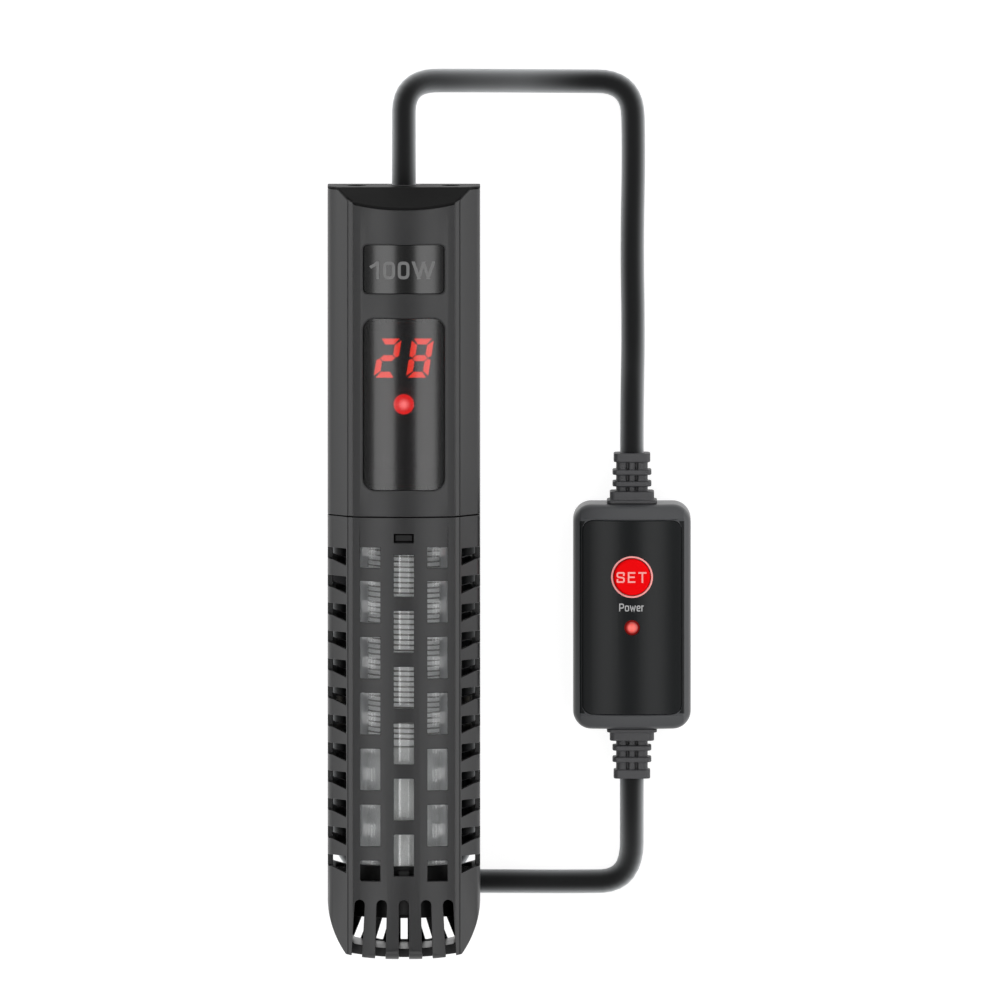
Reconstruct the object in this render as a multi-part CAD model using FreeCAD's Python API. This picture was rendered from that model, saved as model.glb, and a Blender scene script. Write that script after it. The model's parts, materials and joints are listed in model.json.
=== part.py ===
import FreeCAD, Part
import math
import os
from FreeCAD import Vector

# Submersible aquarium heater lying on its two suction cups, display up, with the
# hand controller on its lead. All sizes are in mm. X runs across the heater, Y along
# it towards the cap, and Z up from the surface that it lies on.

# Heater body
heater_length = 200.0
body_width = 39.5
body_depth = 37.0
stand_off = 15.5
panel_inset = 6.15
panel_crown = 2.2
shoulder_inset = 1.45
shoulder_depth = 9.3
side_front_depth = 12.6
side_rear_depth = 10.5
rear_flat_inset = 7.75
crease_width = 1.3
crease_depth = 0.6
cap_drop = 5.0
cap_ridge_from_front = 7.6
cap_ridge_from_rear = 15.5
cap_rear_drop = 2.6

# Control housing
housing_length = 85.0
housing_wall = 2.4
neck_wall = 3.5
neck_height = 14.0
spigot_length = 7.4
spigot_lip = 1.0
spigot_lip_play = 0.8
spigot_fit = 0.1
rim_wall = 1.2
cap_seat_depth = 14.0
gasket_thickness = 1.0
cap_fit = 0.1
cap_plate = 3.0
cap_lid = 0.6
cap_skirt = 2.0

# Cap screws and their bosses
screw_inset = 7.55
screw_front_offset = 3.5
screw_head_diameter = 4.5
screw_head_height = 2.0
screw_head_recess = 2.4
screw_shank_diameter = 2.9
screw_grip = 9.0
screw_clearance = 0.1
boss_diameter = 6.0
boss_length = 14.0
boss_rib = 2.0
cap_column_diameter = 6.4

# Cable gland
gland_diameter = 9.2
gland_flange_diameter = 13.0
gland_depth = 12.0
gland_socket_depth = 1.4
gland_fit = 0.05

# Badge plate and display window
plate_crown_radius = 33.0
badge_width = 21.0
badge_height = 12.6
badge_corner = 1.2
badge_from_top = 20.9
badge_recess = 1.0
badge_plate = 0.5
window_width = 21.1
window_height = 44.5
window_corner = 3.1
window_from_top = 55.9
window_recess = 1.4
window_plate = 1.0
window_ledge = 1.3
plate_fit = 0.08

# Board and what is on it
board_thickness = 1.6
board_level = 7.6
board_inset = 4.95
board_top_gap = 2.0
board_bottom_gap = 3.9
rail_thickness = 1.2
rail_reach = 2.0
digit_module_width = 18.0
digit_module_height = 12.8
digit_module_depth = 6.0
digits_from_top = 43.8
indicator_diameter = 5.0
indicator_flange = 5.8
indicator_height = 6.2
indicator_from_top = 55.5
relay_size = (19.0, 15.0, 15.3)
relay_from_top = 45.5
capacitor_size = (18.0, 9.0, 11.0)
capacitor_gap = 0.5
terminal_size = (11.0, 9.0, 8.5)
terminal_from_top = 21.5
core_wire_diameter = 1.8
core_wire_spacing = 3.4
seat_gap = 0.05

# Glass tube, its seal and its boot
tube_diameter = 25.0
tube_wall = 1.4
tube_top_depth = 6.0
tube_bottom_depth = 13.0
seal_height = 18.5
seal_collar = 3.0
seal_collar_bore = 20.0
boot_wall = 1.4
boot_height = 13.4
boot_base = 2.4
boot_fin = 3.0

# Heating element
element_top_depth = 88.0
element_length = 57.0
element_diameter = 18.4
element_bore = 6.0
coil_turns = 24
coil_wire = 1.1
coil_end_margin = 1.5
coil_gap = 0.3
fill_gap = 0.4
lead_wire_diameter = 1.4
lead_wire_spacing = 10.0
lead_wire_overlap = 2.0
fuse_diameter = 3.6
fuse_length = 9.0
probe_diameter = 4.0
probe_x = 12.0
probe_drop = 11.5
probe_length = 30.0

# Guard cage
guard_wall = 2.2
guard_seam_gap = 0.25
taper_height = 16.0
taper_end_inset = 4.75
taper_bulge = 1.25
end_crown = 1.3
end_round = 4.0
slot_width = 5.2
slot_height = 10.8
slot_pitch = 14.5
slot_column_spacing = 8.7
slot_columns_from_seam = 16.7
centre_slots_from_seam = 9.9
slot_end_margin = 19.0
short_slot_height = 5.35
short_slot_from_seam = 7.95
notch_inner_inset = 4.85
notch_outer_inset = 1.35
notch_height_inner = 4.4
notch_height_outer = 3.1
notch_from_seam = 8.5
notch_side_depth = 16.5
end_slot_width = 2.65
end_slot_pitch = 5.72
end_slot_count = 5
end_slot_height = 15.6
end_slot_lean = 1.6
end_slot_wrap = 10.5
rear_slot_width = 1.8
rear_slot_pitch = 5.75
rear_slot_leans = (0.0, 17.0, 22.0)
rear_slot_height = 10.0
rear_slot_pivot = 5.0
rear_slot_rib = (1.9, 2.7)
rear_slot_wrap = 6.5
latch_window_width = 5.2
latch_window_height = 2.4
latch_from_seam = 4.4
latch_play = 0.3
latch_sink = 1.7

# Suction cups and the pockets that hold them
cup_diameter = 24.0
cup_rim = 0.8
cup_rim_width = 1.2
cup_hollow = 2.6
cup_neck_diameter = 7.2
cup_neck_level = 7.4
cup_collar_diameter = 11.0
cup_collar = 2.2
cup_stem_diameter = 5.2
cup_head_diameter = 8.8
cup_head = 1.7
pocket_height = 3.5
pocket_lip = 1.2
pocket_width = 16.0
pocket_length = 20.0
pocket_fit = 0.2
upper_cup_from_top = 38.0
lower_cup_from_bottom = 32.9

# Hand controller
controller_x = 59.1
controller_y = -13.5
controller_width = 30.5
controller_length = 58.4
controller_height = 20.0
controller_corner = 4.7
controller_wall = 2.0
controller_roof = 2.4
controller_crown = 2.4
bevel_height = 2.6
bevel_side = 1.8
bevel_end = 3.6
base_lip = 1.0
base_lip_height = 1.5
base_lip_root = 2.0
shell_fit = 0.1
face_width = 25.6
face_length = 50.4
face_corner = 2.4
face_thickness = 0.8
button_from_centre = 10.6
button_diameter = 9.5
button_proud = 0.9
button_guide_fit = 0.2
button_flange_diameter = 12.4
button_flange = 1.4
button_flange_gap = 0.3
button_stem_diameter = 4.0
plunger_diameter = 3.4
plunger_fit = 0.08
plunger_reach = 2.0
plunger_sunk = 1.2
switch_width = 6.2
switch_height = 3.5
power_led_from_centre = -2.6
power_led_diameter = 3.8
power_led_proud = 0.3
power_led_fit = 0.1
controller_board_level = 5.6
controller_board_width = 23.6
controller_board_length = 42.0
shell_screw_spacing_x = 21.0
shell_screw_spacing_y = 49.0
shell_screw_head = 4.2
shell_screw_shank = 2.3
shell_screw_recess = 2.0
shell_post_diameter = 4.8

# Strain reliefs on the controller: half width and length of each step from the wall
relief_neck_diameter = 8.8
relief_flange_diameter = 12.4
relief_flange = 1.6
relief_steps = (
    (6.5, 1.0),
    (5.75, 2.2),
    (4.1, 1.3),
    (5.05, 1.3),
    (4.1, 1.7),
    (5.05, 1.3),
    (4.1, 2.0),
    (4.75, 2.3),
)
relief_slot_width = 0.8
relief_slot_offset = 1.15
relief_slot_depth = 1.2
relief_depth_share = 0.86
relief_corner = 1.6

# Leads
cord_diameter = 6.2
cord_floor = 3.1
hank_turn_radius = 16.1
hank_level = 3.8
hank_layer_gap = 0.62
hank_climb_start = 24.0
hank_climb_length = 80.0
hank_leave_start = 58.0
hank_leave_length = 36.0
tie_thickness = 0.45
tie_width = 8.0
tie_y = -5.0
tie_gap = 0.05

# Plug
plug_width = 22.0
plug_height = 13.4
plug_length = 34.0
plug_corner = 3.0
plug_waist_width = 15.0
plug_relief_length = 13.0
plug_relief_diameter = 7.4
pin_spacing = 12.7
pin_width = 6.3
pin_thickness = 1.5
pin_length = 17.0

# Places worked out from the sizes above
top_y = heater_length / 2
bottom_y = -heater_length / 2
seam_y = top_y - housing_length
front_z = stand_off + body_depth
mid_z = stand_off + body_depth / 2
panel_half_width = body_width / 2 - panel_inset
shoulder_half_width = body_width / 2 - shoulder_inset
rear_flat_half_width = body_width / 2 - rear_flat_inset
taper_end_half_width = body_width / 2 - taper_end_inset
notch_inner_x = body_width / 2 - notch_inner_inset
notch_slope_x = body_width / 2 - notch_outer_inset
screw_spacing = body_width - 2 * screw_inset
board_width = body_width - 2 * board_inset
cap_seat_y = top_y - cap_seat_depth
spigot_y = seam_y - spigot_length
neck_top_y = seam_y + neck_height
board_y1 = cap_seat_y - board_top_gap
board_z0 = mid_z + board_level
board_z1 = board_z0 + board_thickness
seal_y0 = spigot_y + spigot_lip
seal_y1 = seal_y0 + seal_height
board_y0 = seal_y1 + board_bottom_gap
capacitor_y = board_y0 + lead_wire_overlap + capacitor_gap + capacitor_size[1] / 2
tube_top_y = seal_y1 - seal_collar
tube_bottom_y = bottom_y + tube_bottom_depth
element_y1 = top_y - element_top_depth
element_y0 = element_y1 - element_length
upper_cup_y = top_y - upper_cup_from_top
lower_cup_y = bottom_y + lower_cup_from_bottom
pocket_z = stand_off - pocket_height
hank_upper_level = hank_level + cord_diameter + hank_layer_gap
split_z = controller_height / 2
relief_length = sum(step[1] for step in relief_steps)
controller_end = controller_length / 2


def polygon_face(points):
    """Flat face with straight sides through the points."""
    return Part.Face(Part.makePolygon(points + [points[0]]))


def box(x0, x1, y0, y1, z0, z1):
    """Block between two corners."""
    return Part.makeBox(x1 - x0, y1 - y0, z1 - z0, Vector(x0, y0, z0))


def rod_y(x, z, radius, y0, y1):
    """Cylinder along Y."""
    return Part.makeCylinder(radius, y1 - y0, Vector(x, y0, z), Vector(0, 1, 0))


def rod_z(x, y, radius, z0, z1):
    """Cylinder along Z."""
    return Part.makeCylinder(radius, z1 - z0, Vector(x, y, z0), Vector(0, 0, 1))


def round_rect_wire(x, y, width, height, corner, z):
    """Rectangle with rounded corners, flat at height z."""
    hx = width / 2
    hy = height / 2
    k = corner * (1 - math.sqrt(0.5))
    edges = []
    for sx, sy in ((1, 1), (-1, 1), (-1, -1), (1, -1)):
        a = Vector(x + sx * hx, y + sy * (hy - corner), z)
        b = Vector(x + sx * (hx - k), y + sy * (hy - k), z)
        c = Vector(x + sx * (hx - corner), y + sy * hy, z)
        if sx * sy < 0:
            a, c = c, a
        edges.append(Part.Arc(a, b, c).toShape())
    ring = []
    for i, edge in enumerate(edges):
        following = edges[(i + 1) % 4]
        ring.append(edge)
        ring.append(Part.LineSegment(edge.Vertexes[-1].Point, following.Vertexes[0].Point).toShape())
    return Part.Wire(ring)


def round_rect(x, y, width, height, corner, z0, z1):
    """Block with rounded upright edges."""
    face = Part.Face(round_rect_wire(x, y, width, height, corner, z0))
    return face.extrude(Vector(0, 0, z1 - z0))


def turned(profile, axis_point, axis):
    """Solid of revolution of a closed (radius, height) outline about a Y or Z axis."""
    if axis.y:
        points = [Vector(r, h, 0) for r, h in profile]
    else:
        points = [Vector(r, 0, h) for r, h in profile]
    solid = polygon_face(points).revolve(Vector(0, 0, 0), axis, 360)
    solid.translate(axis_point)
    return solid


def upright_arc(x_side, z_side, x_end, z_end):
    """Arc that leaves the upright side at (x_side, z_side) and ends at (x_end, z_end)."""
    reach = abs(x_side) - abs(x_end)
    rise = z_end - z_side
    radius = (reach * reach + rise * rise) / (2 * reach)
    sign = math.copysign(1, x_side)
    centre_x = abs(x_side) - radius
    half_turn = math.atan2(rise, abs(x_end) - centre_x) / 2
    middle = Vector(sign * (centre_x + radius * math.cos(half_turn)), 0, z_side + radius * math.sin(half_turn))
    return Part.Arc(Vector(x_side, 0, z_side), middle, Vector(x_end, 0, z_end)).toShape()


def line_xz(x0, z0, x1, z1):
    """Straight edge in the plane y = 0."""
    return Part.LineSegment(Vector(x0, 0, z0), Vector(x1, 0, z1)).toShape()


def body_outline(inset):
    """Cross-section of the heater body in the plane y = 0, drawn in all round by inset."""
    half = body_width / 2
    crease_z = front_z - panel_crown
    shoulder_z = front_z - shoulder_depth
    side_top = front_z - side_front_depth
    side_bottom = stand_off + side_rear_depth
    crown = Part.Arc(
        Vector(-panel_half_width, 0, crease_z), Vector(0, 0, front_z), Vector(panel_half_width, 0, crease_z)
    ).toShape()
    edges = [crown]
    for s in (1, -1):
        edges.append(line_xz(s * panel_half_width, crease_z, s * shoulder_half_width, shoulder_z))
        edges.append(upright_arc(s * half, side_top, s * shoulder_half_width, shoulder_z))
        edges.append(line_xz(s * half, side_top, s * half, side_bottom))
        edges.append(upright_arc(s * half, side_bottom, s * rear_flat_half_width, stand_off))
    edges.append(line_xz(-rear_flat_half_width, stand_off, rear_flat_half_width, stand_off))
    wire = Part.Wire(Part.__sortEdges__(edges))
    if inset:
        wire = wire.makeOffset2D(-inset, 2)
    return Part.Face(wire)


def prism(inset, y0, y1):
    """Length of the body's cross-section, drawn in by inset."""
    face = body_outline(inset)
    face.translate(Vector(0, y0, 0))
    return face.extrude(Vector(0, y1 - y0, 0))


def above_cap(drop):
    """Everything above the cap's flat ridge and its two slopes, lowered by drop."""
    reach = body_depth
    ridge_front = front_z - cap_ridge_from_front
    ridge_rear = stand_off + cap_ridge_from_rear
    front_slope = cap_drop / cap_ridge_from_front
    rear_slope = cap_rear_drop / cap_ridge_from_rear
    y = top_y - drop
    far_y = top_y + heater_length
    points = [
        Vector(-body_width, y - rear_slope * reach, ridge_rear - reach),
        Vector(-body_width, y, ridge_rear),
        Vector(-body_width, y, ridge_front),
        Vector(-body_width, y - front_slope * reach, ridge_front + reach),
        Vector(-body_width, far_y, ridge_front + reach),
        Vector(-body_width, far_y, ridge_rear - reach),
    ]
    return polygon_face(points).extrude(Vector(2 * body_width, 0, 0))


def topped_prism(inset, y0, drop):
    """Prism from y0 up to the cap's slope, lowered by drop."""
    return prism(inset, y0, top_y + 1).cut(above_cap(drop))


def crease_cutters(y0, y1):
    """The two shallow grooves that edge the front panel."""
    crease_z = front_z - panel_crown
    facet_fall = (shoulder_depth - panel_crown) / (shoulder_half_width - panel_half_width)
    cutters = []
    for s in (1, -1):
        inner = panel_half_width - 0.25 * crease_width
        outer = panel_half_width + 0.75 * crease_width
        outer_z = crease_z - facet_fall * (outer - panel_half_width)
        points = [
            Vector(s * inner, y0, crease_z + crease_depth),
            Vector(s * inner, y0, crease_z - crease_depth),
            Vector(s * outer, y0, outer_z - crease_depth / 2),
            Vector(s * outer, y0, crease_z + crease_depth),
        ]
        cutters.append(polygon_face(points).extrude(Vector(0, y1 - y0, 0)))
    return cutters


def front_plate(y, width, height, corner, outer_inset, inner_inset):
    """Plate let into the front, bent round the heater."""
    block = round_rect(0, y, width, height, corner, mid_z, front_z + 1)
    axis_z = front_z - plate_crown_radius
    layer = rod_y(0, axis_z, plate_crown_radius - outer_inset, y - height, y + height)
    layer = layer.cut(rod_y(0, axis_z, plate_crown_radius - inner_inset, y - height - 1, y + height + 1))
    return block.common(layer)


def cup_pocket(y):
    """Pocket on the rear that a suction cup's head slides into, and the cutter for its slot."""
    half = pocket_length / 2
    # The pad reaches a little way into the rear wall so that the two are one piece.
    pad = round_rect(0, y, pocket_width, pocket_length, 2.5, pocket_z, stand_off + guard_wall / 2)
    neck = cup_stem_diameter / 2 + pocket_fit
    head = cup_head_diameter / 2 + pocket_fit
    lip_top = pocket_z + pocket_lip
    room_top = lip_top + cup_head + pocket_fit
    cutter = rod_z(0, y, neck, pocket_z - 1, lip_top)
    cutter = cutter.fuse(box(-neck, neck, y, y + half + 1, pocket_z - 1, lip_top))
    cutter = cutter.fuse(rod_z(0, y, head, lip_top, room_top))
    cutter = cutter.fuse(box(-head, head, y, y + half + 1, lip_top, room_top))
    return pad, cutter


def screw_places():
    """Axes of the two cap screws as (x, z)."""
    return [(s * screw_spacing / 2, mid_z + screw_front_offset) for s in (-1, 1)]


def housing():
    """Moulded sleeve that holds the board and the display."""
    solid = topped_prism(0, seam_y, cap_lid + seat_gap)
    for cutter in crease_cutters(seam_y - 1, top_y + 1):
        solid = solid.cut(cutter)
    solid = solid.fuse(prism(guard_wall + spigot_fit, spigot_y, seam_y + 1))
    pad, pad_slot = cup_pocket(upper_cup_y)
    solid = solid.fuse(pad)
    solid = solid.cut(prism(rim_wall, cap_seat_y, top_y + 1))
    solid = solid.cut(prism(housing_wall, neck_top_y, cap_seat_y))
    solid = solid.cut(prism(neck_wall, seal_y0, neck_top_y))
    solid = solid.cut(rod_y(0, mid_z, tube_diameter / 2 + spigot_lip_play, spigot_y - 1, seal_y0))
    solid = solid.cut(rod_y(probe_x, mid_z - probe_drop, probe_diameter / 2 + seat_gap, spigot_y - 1, seal_y0))
    solid = solid.cut(pad_slot)
    badge_y = top_y - badge_from_top
    solid = solid.cut(front_plate(badge_y, badge_width, badge_height, badge_corner, -body_depth / 4, badge_recess))
    window_y = top_y - window_from_top
    recess = front_plate(window_y, window_width, window_height, window_corner, -body_depth / 4, window_recess)
    solid = solid.cut(recess)
    opening = round_rect(
        0,
        window_y,
        window_width - 2 * window_ledge,
        window_height - 2 * window_ledge,
        window_corner - window_ledge,
        board_z1,
        front_z,
    )
    solid = solid.cut(opening)
    solid = solid.fuse(housing_fittings())
    for x, z in screw_places():
        hole = rod_y(x, z, screw_shank_diameter / 2 + seat_gap, cap_seat_y - boss_length + 1, cap_seat_y + 1)
        solid = solid.cut(hole)
    return solid.fuse(latch_tongue()).removeSplitter()


def housing_fittings():
    """Screw bosses and board rails inside the housing, trimmed to its outline."""
    half = body_width / 2
    parts = []
    for x, z in screw_places():
        s = math.copysign(1, x)
        boss = rod_y(x, z, boss_diameter / 2, cap_seat_y - boss_length, cap_seat_y)
        x_wall = s * (half - housing_wall / 2)
        rib = box(min(x, x_wall), max(x, x_wall), cap_seat_y - boss_length, cap_seat_y, z - boss_rib / 2, z + boss_rib / 2)
        inner = s * (board_width / 2 - rail_reach)
        rail = box(min(inner, x_wall), max(inner, x_wall), board_y0, board_y1, board_z0 - rail_thickness, board_z0)
        parts += [boss, rib, rail]
    fused = parts[0].multiFuse(parts[1:])
    return fused.common(prism(housing_wall / 2, board_y0 - 1, cap_seat_y))


def latch_tongue():
    """Nub on the spigot that snaps into the guard's small window."""
    y = seam_y - latch_from_seam - latch_window_height
    return box(
        -latch_window_width / 2 + latch_play,
        latch_window_width / 2 - latch_play,
        y + latch_play,
        y + latch_window_height - latch_play,
        front_z - neck_wall + 0.4,
        front_z - latch_sink,
    )


def top_cap():
    """Lid over the housing's rim with a skirt inside it and columns for its two screws."""
    inset = rim_wall + cap_fit
    y0 = cap_seat_y + gasket_thickness
    lid = topped_prism(0, y0, 0).common(above_cap(cap_lid))
    for cutter in crease_cutters(y0, top_y + 1):
        lid = lid.cut(cutter)
    solid = topped_prism(inset, y0, 0).fuse(lid)
    void = topped_prism(inset + cap_skirt, y0 - 1, cap_plate)
    for x, z in screw_places():
        void = void.cut(rod_y(x, z, cap_column_diameter / 2, y0 - 2, top_y + 1))
    solid = solid.cut(void)
    head_y = top_y - screw_head_recess
    for x, z in screw_places():
        solid = solid.cut(rod_y(x, z, screw_head_diameter / 2 + screw_clearance, head_y, top_y + 1))
        solid = solid.cut(rod_y(x, z, screw_shank_diameter / 2 + screw_clearance, y0 - 1, head_y + 1))
    return solid.cut(rod_y(0, mid_z, gland_diameter / 2 + gland_fit, y0 - 1, top_y + 1)).removeSplitter()


def cap_gasket():
    """Flat rubber ring between the cap's skirt and the housing's ledge."""
    ring = prism(rim_wall + cap_fit, cap_seat_y, cap_seat_y + gasket_thickness)
    return ring.cut(prism(rim_wall + cap_fit + cap_skirt, cap_seat_y - 1, cap_seat_y + gasket_thickness + 1))


def cap_screws():
    """The two cap screws as separate solids."""
    head_y = top_y - screw_head_recess
    screws = []
    for x, z in screw_places():
        head = rod_y(x, z, screw_head_diameter / 2, head_y, head_y + screw_head_height)
        shank = rod_y(x, z, screw_shank_diameter / 2, cap_seat_y - screw_grip, head_y)
        driver = box(x - 0.4, x + 0.4, head_y + screw_head_height - 0.9, top_y + 1, z - 1.5, z + 1.5)
        cross = box(x - 1.5, x + 1.5, head_y + screw_head_height - 0.9, top_y + 1, z - 0.4, z + 0.4)
        screws.append(head.fuse(shank).cut(driver).cut(cross))
    return Part.makeCompound(screws)


def cable_gland():
    """Rubber bush in the cap, flanged below it, with a shallow socket for the lead."""
    y0 = top_y - gland_depth
    bush = rod_y(0, mid_z, gland_diameter / 2, y0, top_y + 1).cut(above_cap(0))
    flange = rod_y(0, mid_z, gland_flange_diameter / 2, y0, top_y).cut(above_cap(cap_plate + seat_gap))
    socket = rod_y(0, mid_z, cord_diameter / 2 + gland_fit, top_y - gland_socket_depth, top_y + 1)
    return bush.fuse(flange).cut(socket).removeSplitter()


def core_wires():
    """Two cores from the gland down to the terminal block."""
    wires = []
    terminal_y = top_y - terminal_from_top + terminal_size[1] / 2
    terminal_z = board_z0 - terminal_size[2] / 2
    for s in (-1, 1):
        x = s * core_wire_spacing / 2
        start = Vector(x, top_y - gland_depth, mid_z)
        end = Vector(x, terminal_y, terminal_z)
        bend_up = Vector(x, start.y - 0.3 * (start.y - end.y), start.z)
        bend_down = Vector(x, end.y + 0.3 * (start.y - end.y), end.z)
        wires.append(routed_tube("core_wire", [start, bend_up, bend_down, end], core_wire_diameter))
    return Part.makeCompound(wires)


def badge_plate_solid():
    """Blank plate in the small recess."""
    y = top_y - badge_from_top
    width = badge_width - 2 * plate_fit
    height = badge_height - 2 * plate_fit
    return front_plate(y, width, height, badge_corner - plate_fit, badge_recess - badge_plate, badge_recess)


def display_window():
    """Dark clear window over the digits."""
    y = top_y - window_from_top
    width = window_width - 2 * plate_fit
    height = window_height - 2 * plate_fit
    return front_plate(y, width, height, window_corner - plate_fit, window_recess - window_plate, window_recess)


def main_board():
    """Circuit board on the two rails."""
    return box(-board_width / 2, board_width / 2, board_y0, board_y1, board_z0, board_z1)


def digit_display():
    """Two-digit module on the front of the board."""
    y = top_y - digits_from_top
    return round_rect(
        0, y, digit_module_width, digit_module_height, 0.6, board_z1, board_z1 + digit_module_depth
    )


def indicator_led():
    """Round lamp below the digits."""
    y = top_y - indicator_from_top
    z0 = board_z1
    r = indicator_diameter / 2
    profile = [
        (0, z0),
        (indicator_flange / 2, z0),
        (indicator_flange / 2, z0 + 1),
        (r, z0 + 1),
        (r, z0 + indicator_height - r),
        (0.87 * r, z0 + indicator_height - 0.5 * r),
        (0.5 * r, z0 + indicator_height - 0.13 * r),
        (0, z0 + indicator_height),
    ]
    return turned(profile, Vector(0, y, 0), Vector(0, 0, 1))


def board_part(size, y, corner):
    """Boxy component on the rear of the board."""
    return round_rect(0, y, size[0], size[1], corner, board_z0 - size[2], board_z0)


def tube_seal():
    """Rubber bung that grips the glass tube in the housing's neck."""
    solid = prism(neck_wall + seat_gap, seal_y0, seal_y1)
    solid = solid.cut(rod_y(0, mid_z, tube_diameter / 2 + seat_gap, seal_y0 - 1, tube_top_y))
    solid = solid.cut(rod_y(0, mid_z, seal_collar_bore / 2, tube_top_y - 1, seal_y1 + 1))
    return solid.cut(rod_y(probe_x, mid_z - probe_drop, probe_diameter / 2 + seat_gap, seal_y0 - 1, seal_y1 + 1))


def round_end(radius, y_end):
    """Half outline of a closed tube end, as (radius, y) pairs from the side to the axis."""
    depth = 0.6 * radius
    steps = 6
    points = []
    for i in range(steps + 1):
        angle = math.pi / 2 * i / steps
        points.append((radius * math.cos(angle), y_end + depth * (1 - math.sin(angle))))
    points[-1] = (0, y_end)
    return points


def quartz_tube():
    """Glass tube, open at the top and closed by a rounded end."""
    outer = round_end(tube_diameter / 2, tube_bottom_y)
    inner = round_end(tube_diameter / 2 - tube_wall, tube_bottom_y + tube_wall)
    profile = [(tube_diameter / 2, tube_top_y)] + outer + inner[::-1]
    profile.append((tube_diameter / 2 - tube_wall, tube_top_y))
    return turned(profile, Vector(0, 0, mid_z), Vector(0, 1, 0))


def tube_boot():
    """Rubber cup on the tube's end with four fins that centre it in the guard."""
    bore = tube_diameter / 2 + seat_gap
    y1 = tube_bottom_y + boot_height - boot_base
    y0 = tube_bottom_y - boot_base
    solid = rod_y(0, mid_z, bore + boot_wall, y0, y1)
    reach_x = body_width / 2 - guard_wall - seat_gap
    reach_z = body_depth / 2 - guard_wall - seat_gap
    fins = box(-boot_fin / 2, boot_fin / 2, y0 + 1, y1 - 1, mid_z - reach_z, mid_z + reach_z)
    fins = fins.fuse(box(-reach_x, reach_x, y0 + 1, y1 - 1, mid_z - boot_fin / 2, mid_z + boot_fin / 2))
    fins = fins.common(guard_space(seat_gap))
    solid = solid.fuse(fins)
    pocket = turned(
        [(bore, y1 + 1)] + round_end(bore, tube_bottom_y - seat_gap) + [(0, y1 + 1)],
        Vector(0, 0, mid_z),
        Vector(0, 1, 0),
    )
    return solid.cut(pocket).removeSplitter()


def heating_core():
    """Ceramic rod that carries the winding."""
    solid = rod_y(0, mid_z, element_diameter / 2, element_y0, element_y1)
    return solid.cut(rod_y(0, mid_z, element_bore / 2, element_y0 - 1, element_y1 + 1))


def sand_fill():
    """Packed quartz sand in the lower part of the tube."""
    radius = tube_diameter / 2 - tube_wall - seat_gap
    y0 = tube_bottom_y + tube_wall + 0.6 * (tube_diameter / 2 - tube_wall)
    return rod_y(0, mid_z, radius, y0, element_y0 - fill_gap)


def arc_from(point, tangent, end):
    """Arc, or straight edge, that leaves point along tangent and ends at end, with its end tangent."""
    chord = end - point
    along = tangent.dot(chord)
    side = chord - tangent * along
    if side.Length < 1e-6:
        return Part.LineSegment(point, end).toShape(), tangent
    side_unit = side * (1 / side.Length)
    radius = chord.dot(chord) / (2 * side.Length)
    centre = point + side_unit * radius
    turn = 2 * math.atan2(side.Length, along)
    middle = centre - side_unit * (radius * math.cos(turn / 2)) + tangent * (radius * math.sin(turn / 2))
    end_tangent = tangent * math.cos(turn) + side_unit * math.sin(turn)
    return Part.Arc(point, middle, end).toShape(), end_tangent


def biarc(p0, t0, p1, t1):
    """Two arcs that join p0 to p1 and meet smoothly, with the given end directions."""
    v = p1 - p0
    t = t0 + t1
    shrink = 4 - t.dot(t)
    if shrink < 1e-9:
        d = v.dot(v) / (2 * v.dot(t))
    else:
        d = (-v.dot(t) + math.sqrt(v.dot(t) ** 2 + shrink * v.dot(v))) / shrink
    joint = (p0 + t0 * d + p1 - t1 * d) * 0.5
    first, _ = arc_from(p0, t0, joint)
    second, _ = arc_from(p1, t1 * -1, joint)
    return [first, Part.Arc(joint, middle_point(second), p1).toShape() if is_arc(second) else line(joint, p1)]


def is_arc(edge):
    """Whether an edge is part of a circle."""
    return isinstance(edge.Curve, Part.Circle)


def middle_point(edge):
    """Point halfway along an edge."""
    return edge.valueAt((edge.FirstParameter + edge.LastParameter) / 2)


def line(a, b):
    """Straight edge between two points."""
    return Part.LineSegment(a, b).toShape()


def swept(edges, profile):
    """Solid that a closed profile leaves along joined edges."""
    return Part.Wire(edges).makePipeShell([profile], True, False)


def heating_coil():
    """Resistance winding on the ceramic rod, one unbroken square wire."""
    radius = element_diameter / 2 + coil_gap + coil_wire / 2
    y1 = element_y1 - coil_end_margin - coil_wire / 2
    y0 = element_y0 + coil_end_margin + coil_wire / 2
    pitch = (y1 - y0) / coil_turns
    rise = pitch / (2 * math.pi)
    scale = 1 / math.hypot(radius, rise)
    edges = []
    for i in range(2 * coil_turns):
        ends = []
        for turn in (math.pi * i, math.pi * (i + 1)):
            point = Vector(radius * math.cos(turn), y1 - rise * turn, mid_z + radius * math.sin(turn))
            tangent = Vector(-radius * math.sin(turn) * scale, -rise * scale, radius * math.cos(turn) * scale)
            ends += [point, tangent]
        edges += biarc(*ends)
    half = coil_wire / 2
    start = Vector(radius, y1, mid_z)
    outward = Vector(half, 0, 0)
    along = Vector(0, radius * scale * half, rise * scale * half)
    corners = [start + outward * a + along * b for a, b in ((-1, -1), (1, -1), (1, 1), (-1, 1))]
    print("heating_coil least gap to itself %.2f" % (pitch - coil_wire))
    return swept(edges, Part.makePolygon(corners + [corners[0]]))


def coil_leads():
    """Two insulated wires from the board down to the element."""
    wires = []
    z = board_z0 - seat_gap - lead_wire_diameter / 2
    for s in (-1, 1):
        x = s * lead_wire_spacing / 2
        wires.append(rod_y(x, z, lead_wire_diameter / 2, element_y1 + seat_gap, board_y0 + lead_wire_overlap))
    return Part.makeCompound(wires)


def thermal_fuse():
    """Fuse capsule that stands on the top of the element."""
    z = mid_z - (element_diameter + element_bore) / 4
    return rod_y(0, z, fuse_diameter / 2, element_y1 + seat_gap, element_y1 + seat_gap + fuse_length)


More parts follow.
